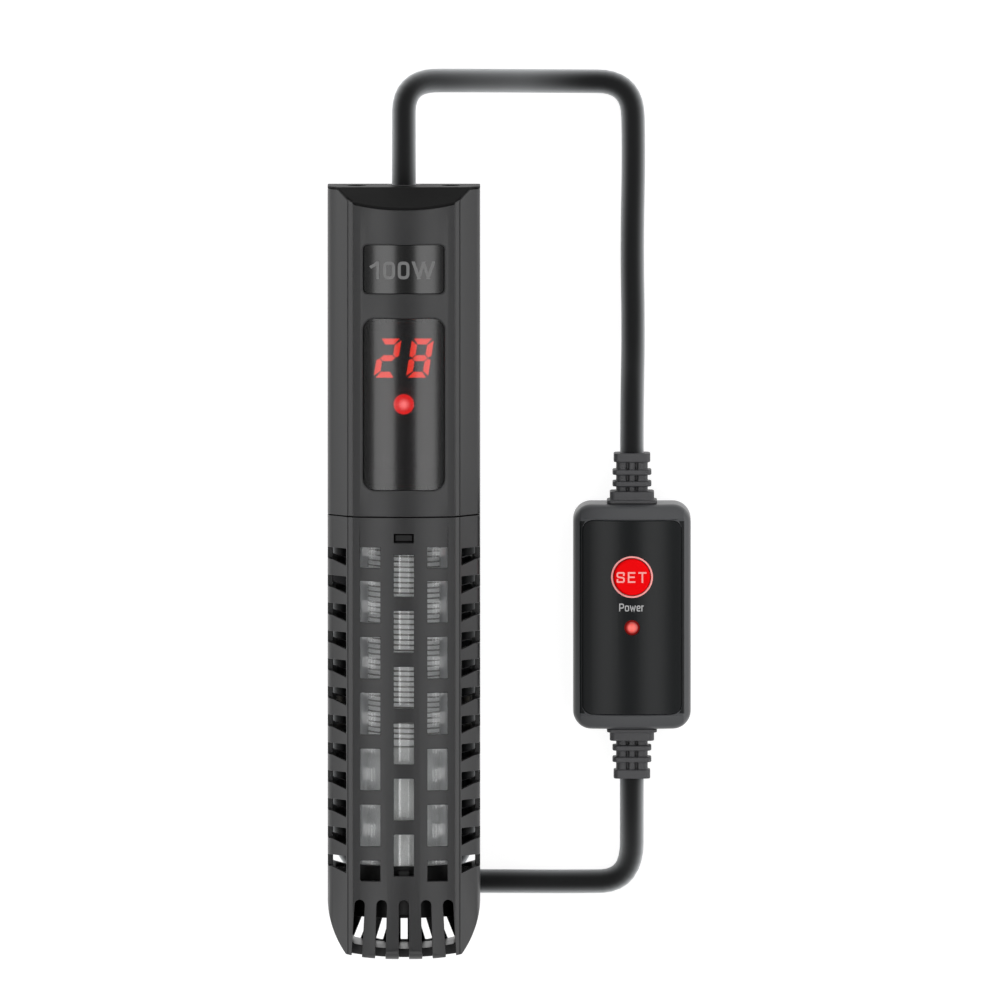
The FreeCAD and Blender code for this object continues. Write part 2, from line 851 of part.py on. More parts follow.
def temperature_probe():
    """Metal capsule through the seal into the water side."""
    x = probe_x
    z = mid_z - probe_drop
    y1 = seal_y1
    solid = rod_y(x, z, probe_diameter / 2, y1 - probe_length + probe_diameter / 2, y1)
    tip = Part.makeSphere(probe_diameter / 2, Vector(x, y1 - probe_length + probe_diameter / 2, z))
    return solid.fuse(tip).removeSplitter()


def side_profile(inset):
    """Guard as seen from the front: straight sides, a curved taper and a crowned end."""
    half = body_width / 2 - inset
    y_end = bottom_y + inset
    y_taper = bottom_y + taper_height
    end_half = taper_end_half_width - inset
    corner_y = y_end + end_crown
    middle = Vector((half + end_half) / 2 + taper_bulge, (y_taper + corner_y) / 2 - taper_bulge / 3, 0)
    top = Vector(half, seam_y + 1, 0)
    edges = [
        Part.Arc(Vector(-end_half, corner_y, 0), Vector(0, y_end, 0), Vector(end_half, corner_y, 0)).toShape(),
        Part.Arc(Vector(end_half, corner_y, 0), middle, Vector(half, y_taper, 0)).toShape(),
        line(Vector(half, y_taper, 0), top),
        line(top, Vector(-half, top.y, 0)),
        line(Vector(-half, top.y, 0), Vector(-half, y_taper, 0)),
        Part.Arc(
            Vector(-half, y_taper, 0), Vector(-middle.x, middle.y, 0), Vector(-end_half, corner_y, 0)
        ).toShape(),
    ]
    return Part.Face(Part.Wire(edges)).extrude(Vector(0, 0, front_z + body_depth))


def end_rounding(inset):
    """Guard as seen from the side: the front and rear edges of its end are rounded."""
    z0 = stand_off + inset
    z1 = front_z - inset
    y0 = bottom_y + inset
    r = end_round - inset / 2
    k = r * (1 - math.sqrt(0.5))
    x = -body_width
    top = seam_y + 1
    edges = [
        line(Vector(x, y0, z0 + r), Vector(x, y0, z1 - r)),
        Part.Arc(Vector(x, y0, z1 - r), Vector(x, y0 + k, z1 - k), Vector(x, y0 + r, z1)).toShape(),
        line(Vector(x, y0 + r, z1), Vector(x, top, z1)),
        line(Vector(x, top, z1), Vector(x, top, z0)),
        line(Vector(x, top, z0), Vector(x, y0 + r, z0)),
        Part.Arc(Vector(x, y0 + r, z0), Vector(x, y0 + k, z0 + k), Vector(x, y0, z0 + r)).toShape(),
    ]
    return Part.Face(Part.Wire(edges)).extrude(Vector(2 * body_width, 0, 0))


def guard_block(inset):
    """Solid shape of the guard, drawn in by inset."""
    block = prism(inset, bottom_y - 1, seam_y - guard_seam_gap)
    return block.common(side_profile(inset)).common(end_rounding(inset))


def guard_space(margin):
    """Room inside the guard, less a margin."""
    return guard_block(guard_wall + margin)


def pattern_count(from_seam, height, pitch):
    """How many openings of that height fit between the seam and the slotted end."""
    room = seam_y - bottom_y - slot_end_margin - from_seam - height
    return int(room / pitch) + 1


def slot_windows():
    """Centres and heights of the slots in the front, as (x, y, height)."""
    windows = []
    side_slots = pattern_count(slot_columns_from_seam, short_slot_height, slot_pitch) - 1
    for i in range(pattern_count(centre_slots_from_seam, slot_height, slot_pitch)):
        windows.append((0, seam_y - centre_slots_from_seam - slot_height / 2 - i * slot_pitch, slot_height))
    for s in (-1, 1):
        x = s * slot_column_spacing
        first = seam_y - slot_columns_from_seam
        for i in range(side_slots):
            windows.append((x, first - slot_height / 2 - i * slot_pitch, slot_height))
        windows.append((x, seam_y - short_slot_from_seam - short_slot_height / 2, short_slot_height))
        last = first - side_slots * slot_pitch
        windows.append((x, last - short_slot_height / 2, short_slot_height))
    return windows


def guard_cutters():
    """Slots of the front and rear, side notches, end slots and the latch window."""
    cutters = []
    pad_low = lower_cup_y - pocket_length / 2 - slot_width / 2
    pad_high = lower_cup_y + pocket_length / 2 + slot_width / 2
    for x, y, height in slot_windows():
        over_pad = y + height / 2 > pad_low and y - height / 2 < pad_high
        z0 = mid_z if over_pad else stand_off - 1
        half = slot_width / 2
        cutters.append(box(x - half, x + half, y - height / 2, y + height / 2, z0, front_z + 1))
    side_z = front_z - notch_side_depth
    for i in range(pattern_count(notch_from_seam, notch_height_inner, slot_pitch / 2)):
        y = seam_y - notch_from_seam - i * slot_pitch / 2
        for s in (-1, 1):
            through = [
                Vector(s * notch_inner_x, y, stand_off - 1),
                Vector(s * notch_slope_x, y, stand_off - 1),
                Vector(s * notch_slope_x, y - notch_height_outer, stand_off - 1),
                Vector(s * notch_inner_x, y - notch_height_inner, stand_off - 1),
            ]
            cutters.append(polygon_face(through).extrude(Vector(0, 0, body_depth + 2)))
            x0, x1 = sorted((s * (notch_slope_x - seat_gap), s * body_width))
            cutters.append(box(x0, x1, y - notch_height_outer, y, side_z, front_z))
    cutters += end_slot_cutters()
    y = seam_y - latch_from_seam - latch_window_height
    half = latch_window_width / 2
    cutters.append(box(-half, half, y, y + latch_window_height, mid_z, front_z + 1))
    return cutters


def end_slot_cutters():
    """Slots that fan out over the guard's end, wider in front than at the rear."""
    cutters = []
    r = end_slot_width / 2
    half = rear_slot_width / 2
    y1 = bottom_y + end_slot_height - r
    pivot_y = bottom_y + rear_slot_pivot
    rib_low, rib_high = rear_slot_rib
    for i in range(end_slot_count):
        step = i - (end_slot_count - 1) // 2
        x = step * end_slot_pitch
        front = box(x - r, x + r, bottom_y - 3, y1, front_z - end_slot_wrap, front_z + 1)
        front = front.fuse(rod_z(x, y1, r, front_z - end_slot_wrap, front_z + 1))
        front.rotate(Vector(x, y1, 0), Vector(0, 0, 1), step * end_slot_lean)
        x = step * rear_slot_pitch
        y0 = bottom_y + rib_high
        rear = box(x - half, x + half, y0, bottom_y + rear_slot_height, stand_off - 1, stand_off + guard_wall + 1)
        wrap = box(x - half, x + half, bottom_y - 3, bottom_y + rib_low, stand_off - 1, stand_off + rear_slot_wrap)
        lean = math.copysign(rear_slot_leans[abs(step) % len(rear_slot_leans)], step)
        rear.rotate(Vector(x, pivot_y, 0), Vector(0, 0, 1), lean)
        wrap.rotate(Vector(x, pivot_y, 0), Vector(0, 0, 1), lean)
        cutters += [front, rear, wrap]
    return cutters


def guard_cage():
    """Slotted cage round the glass tube, closed by a slotted end."""
    pad, pad_slot = cup_pocket(lower_cup_y)
    solid = guard_block(0)
    for cutter in crease_cutters(bottom_y - 1, seam_y + 1):
        solid = solid.cut(cutter)
    solid = solid.fuse(pad).cut(guard_space(0)).cut(prism(guard_wall, bottom_y / 2, seam_y + 1))
    solid = solid.cut(pad_slot)
    return solid.cut(guard_cutters()).removeSplitter()


def suction_cup(y):
    """Suction cup with its head in the pocket."""
    rim = cup_diameter / 2
    neck = cup_neck_diameter / 2
    collar = cup_collar_diameter / 2
    stem = cup_stem_diameter / 2
    head = cup_head_diameter / 2
    lip_top = pocket_z + pocket_lip
    profile = [
        (0, cup_hollow),
        (0.5 * rim, 0.7 * cup_hollow),
        (rim - cup_rim_width, 0),
        (rim, 0),
        (rim, cup_rim),
        (0.72 * rim, 0.38 * cup_neck_level),
        (0.45 * rim, 0.75 * cup_neck_level),
        (neck, cup_neck_level),
        (neck, pocket_z - cup_collar),
        (collar, pocket_z - cup_collar),
        (collar, pocket_z),
        (stem, pocket_z),
        (stem, lip_top),
        (head, lip_top),
        (head, lip_top + cup_head),
        (0, lip_top + cup_head),
    ]
    return turned(profile, Vector(0, y, 0), Vector(0, 0, 1))


def controller_blank(inset, z0, z1):
    """Rounded block with the controller's outline, drawn in by inset."""
    corner = max(controller_corner - inset, 0.5)
    return round_rect(
        controller_x,
        controller_y,
        controller_width - 2 * inset,
        controller_length - 2 * inset,
        corner,
        z0,
        z1,
    )


def shell_screw_places():
    """Axes of the controller's four screws."""
    places = []
    for sx in (-1, 1):
        for sy in (-1, 1):
            places.append((controller_x + sx * shell_screw_spacing_x / 2, controller_y + sy * shell_screw_spacing_y / 2))
    return places


def relief_holes():
    """Holes in the end walls that the two strain reliefs pass through."""
    radius = relief_neck_diameter / 2 + shell_fit
    y0 = controller_y - controller_end - 1
    y1 = controller_y + controller_end + 1
    inner = controller_end - controller_wall - relief_flange - 1
    low = rod_y(controller_x, split_z, radius, y0, controller_y - inner)
    high = rod_y(controller_x, split_z, radius, controller_y + inner, y1)
    return low.fuse(high)


def crown_fall(x):
    """How far the crowned face lies below its middle at a distance from it."""
    half = controller_width / 2 - bevel_side
    radius = (half * half + controller_crown * controller_crown) / (2 * controller_crown)
    return radius - math.sqrt(radius * radius - x * x)


def crowned_wire(y, lowered):
    """Cross-section of the controller above the split, with its crowned face lowered."""
    side = controller_width / 2
    inner = side - bevel_side
    top = controller_height - lowered
    edge_z = top - controller_crown
    side_z = edge_z - bevel_height
    low = split_z - 1
    crown = Part.Arc(Vector(-inner, 0, edge_z), Vector(0, 0, top), Vector(inner, 0, edge_z)).toShape()
    edges = [
        line_xz(-side, low, -side, side_z),
        line_xz(-side, side_z, -inner, edge_z),
        crown,
        line_xz(inner, edge_z, side, side_z),
        line_xz(side, side_z, side, low),
        line_xz(side, low, -side, low),
    ]
    wire = Part.Wire(edges)
    wire.translate(Vector(controller_x, controller_y + y, 0))
    return wire


def crowned_space(lowered):
    """Everything under the controller's crowned and bevelled outside, lowered."""
    end = controller_length / 2
    flat = end - bevel_end
    middle = Part.Face(crowned_wire(-flat, lowered)).extrude(Vector(0, 2 * flat, 0))
    far = Part.makeLoft([crowned_wire(flat, lowered), crowned_wire(end, lowered + bevel_height)], True, True)
    near = Part.makeLoft([crowned_wire(-end, lowered + bevel_height), crowned_wire(-flat, lowered)], True, True)
    return middle.fuse([far, near])


def controller_top():
    """Upper half of the controller, crowned across its face and bevelled at both ends."""
    outside = crowned_space(0)
    solid = controller_blank(0, split_z, controller_height + 1).common(outside)
    room = controller_blank(controller_wall, split_z - 1, controller_height + 1)
    solid = solid.cut(room.common(crowned_space(controller_roof)))
    posts = []
    for x, y in shell_screw_places():
        posts.append(rod_z(x, y, shell_post_diameter / 2, split_z, controller_height))
    solid = solid.fuse(Part.makeCompound(posts).common(crowned_space(controller_roof / 2)))
    for x, y in shell_screw_places():
        solid = solid.cut(rod_z(x, y, shell_screw_shank / 2 + seat_gap, split_z - 1, split_z + 6))
    solid = solid.cut(face_layer(face_width, face_length, face_corner))
    solid = solid.cut(relief_holes())
    return solid.cut(face_holes(split_z)).removeSplitter()


def face_layer(width, length, corner):
    """Crowned layer of the face's thickness under the outside of the controller."""
    block = round_rect(controller_x, controller_y, width, length, corner, split_z, controller_height + 1)
    return block.common(crowned_space(-1)).cut(crowned_space(face_thickness))


def face_holes(z0):
    """Holes for the button and the lamp, from z0 up."""
    button_y = controller_y + button_from_centre
    led_y = controller_y + power_led_from_centre
    z1 = controller_height + 2
    button_hole = rod_z(controller_x, button_y, button_diameter / 2 + button_guide_fit, z0, z1)
    return button_hole.fuse(rod_z(controller_x, led_y, power_led_diameter / 2 + power_led_fit, z0, z1))


def controller_base():
    """Lower half of the controller with a lip that locates the upper half."""
    solid = controller_blank(0, 0, split_z)
    solid = solid.cut(controller_blank(controller_wall, controller_wall, split_z + 1))
    root_z = split_z - base_lip_root
    lip = controller_blank(controller_wall + shell_fit, root_z, split_z + base_lip_height)
    lip = lip.fuse(controller_blank(controller_wall / 2, root_z, split_z))
    lip = lip.cut(controller_blank(controller_wall + shell_fit + base_lip, root_z - 1, split_z + 5))
    clear = relief_flange_diameter / 2 + 0.6
    far = controller_length
    gap = box(
        controller_x - clear,
        controller_x + clear,
        controller_y - far,
        controller_y + far,
        root_z - 1,
        split_z + 5,
    )
    lip = lip.cut(gap)
    for x, y in shell_screw_places():
        lip = lip.cut(rod_z(x, y, shell_post_diameter / 2 + shell_fit, split_z, split_z + 5))
    solid = solid.fuse(lip)
    for x, y in shell_screw_places():
        solid = solid.fuse(rod_z(x, y, shell_post_diameter / 2, 0.5, split_z))
    board_half = controller_board_length / 2
    for s in (-1, 1):
        y = controller_y + s * (board_half - 3)
        solid = solid.fuse(
            box(controller_x - 3, controller_x + 3, y - 1.5, y + 1.5, 0.5, controller_board_level)
        )
    for x, y in shell_screw_places():
        solid = solid.cut(rod_z(x, y, shell_screw_shank / 2 + screw_clearance, -1, split_z + 1))
        solid = solid.cut(rod_z(x, y, shell_screw_head / 2 + screw_clearance, -1, shell_screw_recess))
    return solid.cut(relief_holes()).removeSplitter()


def controller_screws():
    """The four screws of the controller as separate solids."""
    screws = []
    for x, y in shell_screw_places():
        head = rod_z(x, y, shell_screw_head / 2, 0.4, shell_screw_recess)
        shank = rod_z(x, y, shell_screw_shank / 2, shell_screw_recess, split_z + 5)
        slot = box(x - 1.3, x + 1.3, y - 0.35, y + 0.35, 0.3, 1.0)
        screws.append(head.fuse(shank).cut(slot).removeSplitter())
    return Part.makeCompound(screws)


def controller_face():
    """Thin glossy face let into the upper half, crowned as it is."""
    width = face_width - 2 * plate_fit
    length = face_length - 2 * plate_fit
    plate = face_layer(width, length, face_corner - plate_fit).common(crowned_space(0))
    return plate.cut(face_holes(split_z)).removeSplitter()


def button_levels():
    """Heights of the button's flange, and of the plunger's top under its stem."""
    roof = controller_height - crown_fall(button_flange_diameter / 2) - controller_roof
    flange_top = roof - button_flange_gap
    plunger_top = controller_board_level + board_thickness + switch_height + plunger_reach
    return flange_top, plunger_top


def set_button():
    """Push button with a flange that keeps it in the upper half."""
    flange_top, plunger_top = button_levels()
    r = button_diameter / 2
    top = controller_height + button_proud
    profile = [
        (0, plunger_top + seat_gap),
        (button_stem_diameter / 2, plunger_top + seat_gap),
        (button_stem_diameter / 2, flange_top - button_flange),
        (button_flange_diameter / 2, flange_top - button_flange),
        (button_flange_diameter / 2, flange_top),
        (r, flange_top),
        (r, top - 0.4),
        (r - 0.4, top),
        (0, top),
    ]
    return turned(profile, Vector(controller_x, controller_y + button_from_centre, 0), Vector(0, 0, 1))


def switch_plunger():
    """Plunger of the key switch, which the button's stem stands on."""
    _, plunger_top = button_levels()
    bottom = controller_board_level + board_thickness + switch_height - plunger_sunk
    return rod_z(controller_x, controller_y + button_from_centre, plunger_diameter / 2, bottom, plunger_top)


def tact_switch():
    """Body of the key switch on the controller's board."""
    z0 = controller_board_level + board_thickness
    y = controller_y + button_from_centre
    solid = round_rect(controller_x, y, switch_width, switch_width, 0.4, z0, z0 + switch_height)
    return solid.cut(rod_z(controller_x, y, plunger_diameter / 2 + plunger_fit, z0 + 0.8, z0 + switch_height + 1))


def power_led():
    """Lamp with a long lens that ends in the face."""
    z0 = controller_board_level + board_thickness
    top = controller_height + power_led_proud
    r = power_led_diameter / 2
    profile = [
        (0, z0),
        (r + 0.4, z0),
        (r + 0.4, z0 + 1),
        (r, z0 + 1),
        (r, top - 0.45 * r),
        (0.6 * r, top - 0.12 * r),
        (0, top),
    ]
    return turned(profile, Vector(controller_x, controller_y + power_led_from_centre, 0), Vector(0, 0, 1))


def controller_board():
    """Circuit board in the controller."""
    half_x = controller_board_width / 2
    half_y = controller_board_length / 2
    return box(
        controller_x - half_x,
        controller_x + half_x,
        controller_y - half_y,
        controller_y + half_y,
        controller_board_level,
        controller_board_level + board_thickness,
    )


def strain_relief(side):
    """Moulded relief on one end of the controller; side is 1 for the heater's end."""
    inner = controller_end - controller_wall
    solid = rod_y(0, 0, relief_flange_diameter / 2, inner - relief_flange, inner - seat_gap)
    start = controller_end + seat_gap
    solid = solid.fuse(rod_y(0, 0, relief_neck_diameter / 2, inner - relief_flange, start + seat_gap))
    least = min(step[0] for step in relief_steps)
    step_end = controller_end
    for half_width, length in relief_steps:
        step_end += length
        half_depth = relief_depth_share * half_width
        ring = round_rect(0, 0, 2 * half_width, 2 * half_depth, relief_corner, 0, step_end - start)
        ring.rotate(Vector(0, 0, 0), Vector(1, 0, 0), -90)
        ring.translate(Vector(0, start, 0))
        if half_width == least:
            half = relief_slot_width / 2
            for s in (-1, 1):
                x = s * relief_slot_offset
                for z0, z1 in ((half_depth - relief_slot_depth, half_depth + 1), (-half_depth - 1, relief_slot_depth - half_depth)):
                    ring = ring.cut(box(x - half, x + half, start, step_end, z0, z1))
        solid = solid.fuse(ring)
        start = step_end
    if side < 0:
        solid.rotate(Vector(0, 0, 0), Vector(0, 0, 1), 180)
    solid.translate(Vector(controller_x, controller_y, split_z))
    return solid.removeSplitter()


def routed_tube(name, points, diameter):
    """Tube along straight runs joined by the largest tangent arcs that they allow."""
    edges = []
    radii = []
    at = points[0]
    for i in range(1, len(points) - 1):
        back = points[i - 1] - points[i]
        ahead = points[i + 1] - points[i]
        shorter = min(back.Length, ahead.Length)
        back.normalize()
        ahead.normalize()
        half_turn = (math.pi - back.getAngle(ahead)) / 2
        trim = 0.45 * shorter
        radius = trim / math.tan(half_turn)
        start = points[i] + back * trim
        end = points[i] + ahead * trim
        to_centre = (back + ahead).normalize() * (radius / math.cos(half_turn))
        middle = points[i] + to_centre - (back + ahead).normalize() * radius
        edges.append(line(at, start))
        edges.append(Part.Arc(start, middle, end).toShape())
        radii.append(radius)
        at = end
    edges.append(line(at, points[-1]))
    wire = Part.Wire(edges)
    first = (points[1] - points[0]).normalize()
    circle = Part.Circle(points[0], first, diameter / 2).toShape()
    solid = swept(edges, Part.Wire([circle]))
    report_tube(name, wire, solid, diameter, radii)
    return solid


def report_tube(name, wire, solid, diameter, radii):
    """Print a tube's length, its radii and how its volume compares with its length."""
    wanted = math.pi * diameter * diameter / 4 * wire.Length
    print(
        "%s length %.1f volume ratio %.4f radii %s"
        % (name, wire.Length, solid.Volume / wanted, " ".join("%.1f" % r for r in radii))
    )


def heater_lead():
    """Lead from the gland down to the surface and along it to the controller."""
    relief_y = controller_y + controller_end + relief_length
    points = [
        Vector(0, top_y - gland_socket_depth, mid_z),
        Vector(0, 110.5, mid_z),
        Vector(0, 126.9, 33.6),
        Vector(17.0, 126.3, 23.5),
        Vector(41.5, 124.9, cord_floor),
        Vector(controller_x, 124.8, cord_floor),
        Vector(59.4, 107.0, cord_floor),
        Vector(58.8, 82.0, cord_floor),
        Vector(59.3, 60.0, cord_floor),
        Vector(controller_x, relief_y + 11.6, split_z),
        Vector(controller_x, relief_y, split_z),
    ]
    return routed_tube("heater_lead", points, cord_diameter)


def supply_lead():
    """Visible stretch of the lead from the controller to the hank under the heater."""
    relief_y = controller_y - controller_end - relief_length
    hank_y = lower_cup_y - hank_turn_radius
    points = [
        Vector(controller_x, relief_y, split_z),
        Vector(controller_x, relief_y - 6.7, split_z),
        Vector(controller_x, hank_y, cord_floor),
        Vector(42.5, hank_y - 0.2, cord_floor),
        Vector(22.0, hank_y, hank_level),
        Vector(cord_diameter, hank_y, hank_level),
    ]
    return routed_tube("supply_lead", points, cord_diameter)


def hank_stops():
    """Points and directions along the hank, from its start under the guard to the plug."""
    r = hank_turn_radius
    low = lower_cup_y
    high = upper_cup_y
    z1 = hank_level
    z2 = hank_upper_level
    up = Vector(0, 1, 0)
    down = Vector(0, -1, 0)
    left = Vector(-1, 0, 0)
    right = Vector(1, 0, 0)
    leave_y = hank_leave_start
    plug_entry = leave_y - hank_leave_length
    return [
        (Vector(cord_diameter, low - r, z1), left),
        (Vector(0, low - r, z1), left),
        (Vector(-r, low, z1), up),
        (Vector(-r, high, z1), up),
        (Vector(0, high + r, z1), right),
        (Vector(r, high, z1), down),
        (Vector(r, hank_climb_start, z1), down),
        (Vector(r, hank_climb_start - hank_climb_length, z2), down),
        (Vector(r, low, z2), down),
        (Vector(0, low - r, z2), left),
        (Vector(-r, low, z2), up),
        (Vector(-r, high, z2), up),
        (Vector(0, high + r, z2), right),
        (Vector(r, high, z2), down),
        (Vector(r, leave_y, z2), down),
        (Vector(0, plug_entry, plug_height / 2), down),
        (Vector(0, plug_entry - cord_diameter, plug_height / 2), down),
    ]


def supply_lead_hank():
    """Put-away part of the lead: two layers wound round the two suction cups."""
    edges = []
    stops = hank_stops()
    for (p0, t0), (p1, t1) in zip(stops, stops[1:]):
        chord = (p1 - p0).normalize()
        if chord.dot(t0) > 0.999999:
            edges.append(line(p0, p1))
        else:
            edges += biarc(p0, t0, p1, t1)
    circle = Part.Circle(stops[0][0], stops[0][1], cord_diameter / 2).toShape()
    solid = swept(edges, Part.Wire([circle]))
    wire = Part.Wire(edges)
    radii = [edge.Curve.Radius for edge in edges if is_arc(edge)]
    report_tube("supply_lead_hank", wire, solid, cord_diameter, radii)
    print("supply_lead_hank least gap to itself %.2f" % least_self_gap(wire, cord_diameter))
    return solid


def least_self_gap(wire, diameter):
    """Least gap between stretches of a tube that are far apart along it."""
    step = diameter / 4
    points = wire.discretize(Distance=step)
    apart = int(3 * diameter / step)
    least = 1e9
    for i, a in enumerate(points):
        for b in points[i + apart :]:
            least = min(least, a.distanceToPoint(b))
    return least - diameter


def cord_tie():
    """Strap round the two layers of the hank."""
    r = cord_diameter / 2 + tie_gap
    x = -hank_turn_radius
    z0 = hank_level - r
    z1 = hank_upper_level + r
    y0 = tie_y - tie_width / 2
    y1 = tie_y + tie_width / 2
    t = tie_thickness
    return box(x - r - t, x + r + t, y0, y1, z0 - t, z1 + t).cut(box(x - r, x + r, y0 - 1, y1 + 1, z0, z1))


def plug_rear_y():
    """Where the lead enters the plug's relief."""
    return hank_leave_start - hank_leave_length - cord_diameter


def plug_body():
    """Moulded two-pin plug with a tapered relief and a grip that narrows at its waist."""
    z = plug_height / 2
    y_relief = plug_rear_y()
    y_rear = y_relief - plug_relief_length
    y_waist = y_rear - 0.35 * plug_length
    y_front = y_rear - plug_length

    def ring(y, width, height, corner):
        wire = round_rect_wire(0, 0, width, height, corner, 0)
        wire.rotate(Vector(0, 0, 0), Vector(1, 0, 0), 90)
        wire.translate(Vector(0, y, z))
        return wire

    rear_width = 0.62 * plug_width
    rear_height = 0.7 * plug_height
    body = Part.makeLoft(
        [
            ring(y_rear, rear_width, rear_height, plug_corner),
            ring(y_waist, plug_waist_width, 0.86 * plug_height, plug_corner),
            ring(y_front + 0.25 * plug_length, plug_width, plug_height, plug_corner),
            ring(y_front, plug_width, plug_height, plug_corner),
        ],
        True,
        True,
    )
    entry_radius = plug_relief_diameter / 2
    relief = Part.makeCone(
        entry_radius, 0.34 * plug_height, plug_relief_length + 1, Vector(0, y_relief, z), Vector(0, -1, 0)
    )
    return body.fuse(relief).removeSplitter()


def plug_pins():
    """Two flat pins."""
    y_front = plug_rear_y() - plug_relief_length - plug_length
    z = plug_height / 2
    pins = []
    for s in (-1, 1):
        x = s * pin_spacing / 2
        pins.append(
            box(
                x - pin_thickness / 2,
                x + pin_thickness / 2,
                y_front - pin_length,
                y_front,
                z - pin_width / 2,
                z + pin_width / 2,
            )
        )
    return Part.makeCompound(pins)


def build():
    """All the pieces by node name."""
    return {
        "housing": housing(),
        "top_cap": top_cap(),
        "cap_gasket": cap_gasket(),
        "cap_screws": cap_screws(),
        "cable_gland": cable_gland(),
        "core_wires": core_wires(),
        "badge_plate": badge_plate_solid(),
        "display_window": display_window(),
        "digit_display": digit_display(),
        "indicator_led": indicator_led(),
        "main_board": main_board(),
        "relay": board_part(relay_size, top_y - relay_from_top, 0.8),
        "dropper_capacitor": board_part(capacitor_size, capacitor_y, 1.0),
        "terminal_block": board_part(terminal_size, top_y - terminal_from_top, 0.4),
        "tube_seal": tube_seal(),
        "quartz_tube": quartz_tube(),
        "heating_core": heating_core(),
        "heating_coil": heating_coil(),
        "sand_fill": sand_fill(),
        "coil_leads": coil_leads(),
        "thermal_fuse": thermal_fuse(),
        "temperature_probe": temperature_probe(),
        "tube_boot": tube_boot(),
        "guard_cage": guard_cage(),
        "upper_suction_cup": suction_cup(upper_cup_y),
        "lower_suction_cup": suction_cup(lower_cup_y),
        "controller_top": controller_top(),
        "controller_base": controller_base(),
        "controller_face": controller_face(),
        "controller_screws": controller_screws(),
        "controller_board": controller_board(),
        "set_button": set_button(),
        "switch_plunger": switch_plunger(),
        "tact_switch": tact_switch(),
        "power_led": power_led(),
        "heater_side_relief": strain_relief(1),
        "plug_side_relief": strain_relief(-1),
        "heater_lead": heater_lead(),
        "supply_lead": supply_lead(),
        "supply_lead_hank": supply_lead_hank(),
        "cord_tie": cord_tie(),
        "plug_body": plug_body(),
        "plug_pins": plug_pins(),
    }


def main():
    """Write one STEP file for each piece."""
    os.makedirs("parts", exist_ok=True)
    for name, shape in build().items():
        if not shape.isValid():
            print("not valid:", name)
        shape.exportStep("parts/%s.step" % name)


main()
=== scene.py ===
"""Submersible aquarium heater on its suction cups, with the hand controller on its lead.

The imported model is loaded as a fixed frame. Each sub-assembly is a class that dresses its
own nodes or builds finer pieces in their place. Sizes are in millimetres unless a name
says otherwise, and X runs across the heater, Y towards its cap and Z up.
"""

from __future__ import annotations

import json
import logging
import math
from contextlib import contextmanager
from dataclasses import dataclass, field
from enum import Enum
from functools import partial, reduce
from typing import Callable, Iterable, Iterator, Sequence

import bmesh
import bpy
from mathutils import Matrix, Vector

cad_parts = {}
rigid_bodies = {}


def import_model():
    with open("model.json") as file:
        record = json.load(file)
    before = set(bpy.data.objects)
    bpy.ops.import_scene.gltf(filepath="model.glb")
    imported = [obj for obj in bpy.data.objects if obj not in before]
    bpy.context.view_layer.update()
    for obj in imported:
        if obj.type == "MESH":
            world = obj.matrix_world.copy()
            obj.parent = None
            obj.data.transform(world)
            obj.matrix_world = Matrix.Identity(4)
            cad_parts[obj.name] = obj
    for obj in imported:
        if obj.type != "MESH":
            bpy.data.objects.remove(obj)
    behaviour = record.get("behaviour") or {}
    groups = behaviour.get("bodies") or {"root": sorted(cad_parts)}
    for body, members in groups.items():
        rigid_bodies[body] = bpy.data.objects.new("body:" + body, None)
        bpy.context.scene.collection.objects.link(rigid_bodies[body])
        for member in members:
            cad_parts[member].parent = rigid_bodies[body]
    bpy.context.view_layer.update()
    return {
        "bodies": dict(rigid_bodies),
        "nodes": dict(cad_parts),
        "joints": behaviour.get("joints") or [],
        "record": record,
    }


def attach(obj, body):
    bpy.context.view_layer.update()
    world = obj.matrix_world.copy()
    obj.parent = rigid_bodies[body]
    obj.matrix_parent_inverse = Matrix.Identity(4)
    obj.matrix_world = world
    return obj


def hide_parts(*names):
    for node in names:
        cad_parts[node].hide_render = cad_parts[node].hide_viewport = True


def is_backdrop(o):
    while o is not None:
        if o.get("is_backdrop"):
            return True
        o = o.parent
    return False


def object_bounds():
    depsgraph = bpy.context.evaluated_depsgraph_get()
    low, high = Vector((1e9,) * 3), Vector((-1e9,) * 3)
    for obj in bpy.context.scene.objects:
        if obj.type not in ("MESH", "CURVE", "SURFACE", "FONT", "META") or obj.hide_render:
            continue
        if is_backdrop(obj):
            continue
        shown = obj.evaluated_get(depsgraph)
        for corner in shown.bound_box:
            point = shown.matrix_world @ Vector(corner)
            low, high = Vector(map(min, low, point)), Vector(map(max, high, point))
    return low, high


log = logging.getLogger("heater")

MM = 0.001
HEATER = "heater"
BUTTON = "button"

Point = tuple[float, float, float]
Pair = tuple[float, float]
Profile = Sequence[Pair]
Level = Callable[[float], float]
Colour = tuple[float, float, float, float]
Values = dict[str | int, object]
Tree = bpy.types.NodeTree
Socket = bpy.types.NodeSocket
Piece = bpy.types.Object

# Bends in degrees: a dressed piece is rounded above the first and made flat below the second.
SHARP_BEND = 30.0
FLAT_BEND = 0.8
# Corners nearer than this are welded into one.
WELD = 0.0015
# The clouds in a finish are this many patterns wide, and at least so many metres.
CLOUD_PATTERNS = 14
CLOUD_LEAST = 0.004
# Share by which a finish's roughness wanders.
WEAR = 0.15
# Steps in a rounded bend, and the share of a side that the bend may take.
BEND_STEPS = 4
BEND_SHARE = 0.45
# Least cosine of a mitre, which keeps a sharp bend of a stroke from growing a spike.
MITRE_LEAST = 0.4
# Thickness of print and how far it stands off. Strokes that cross take turns at a few levels.
PRINT_THICKNESS = 0.06
PRINT_GAP = 0.02
PRINT_STEP = 0.004
PRINT_LEVELS = 3



# Nodes and materials


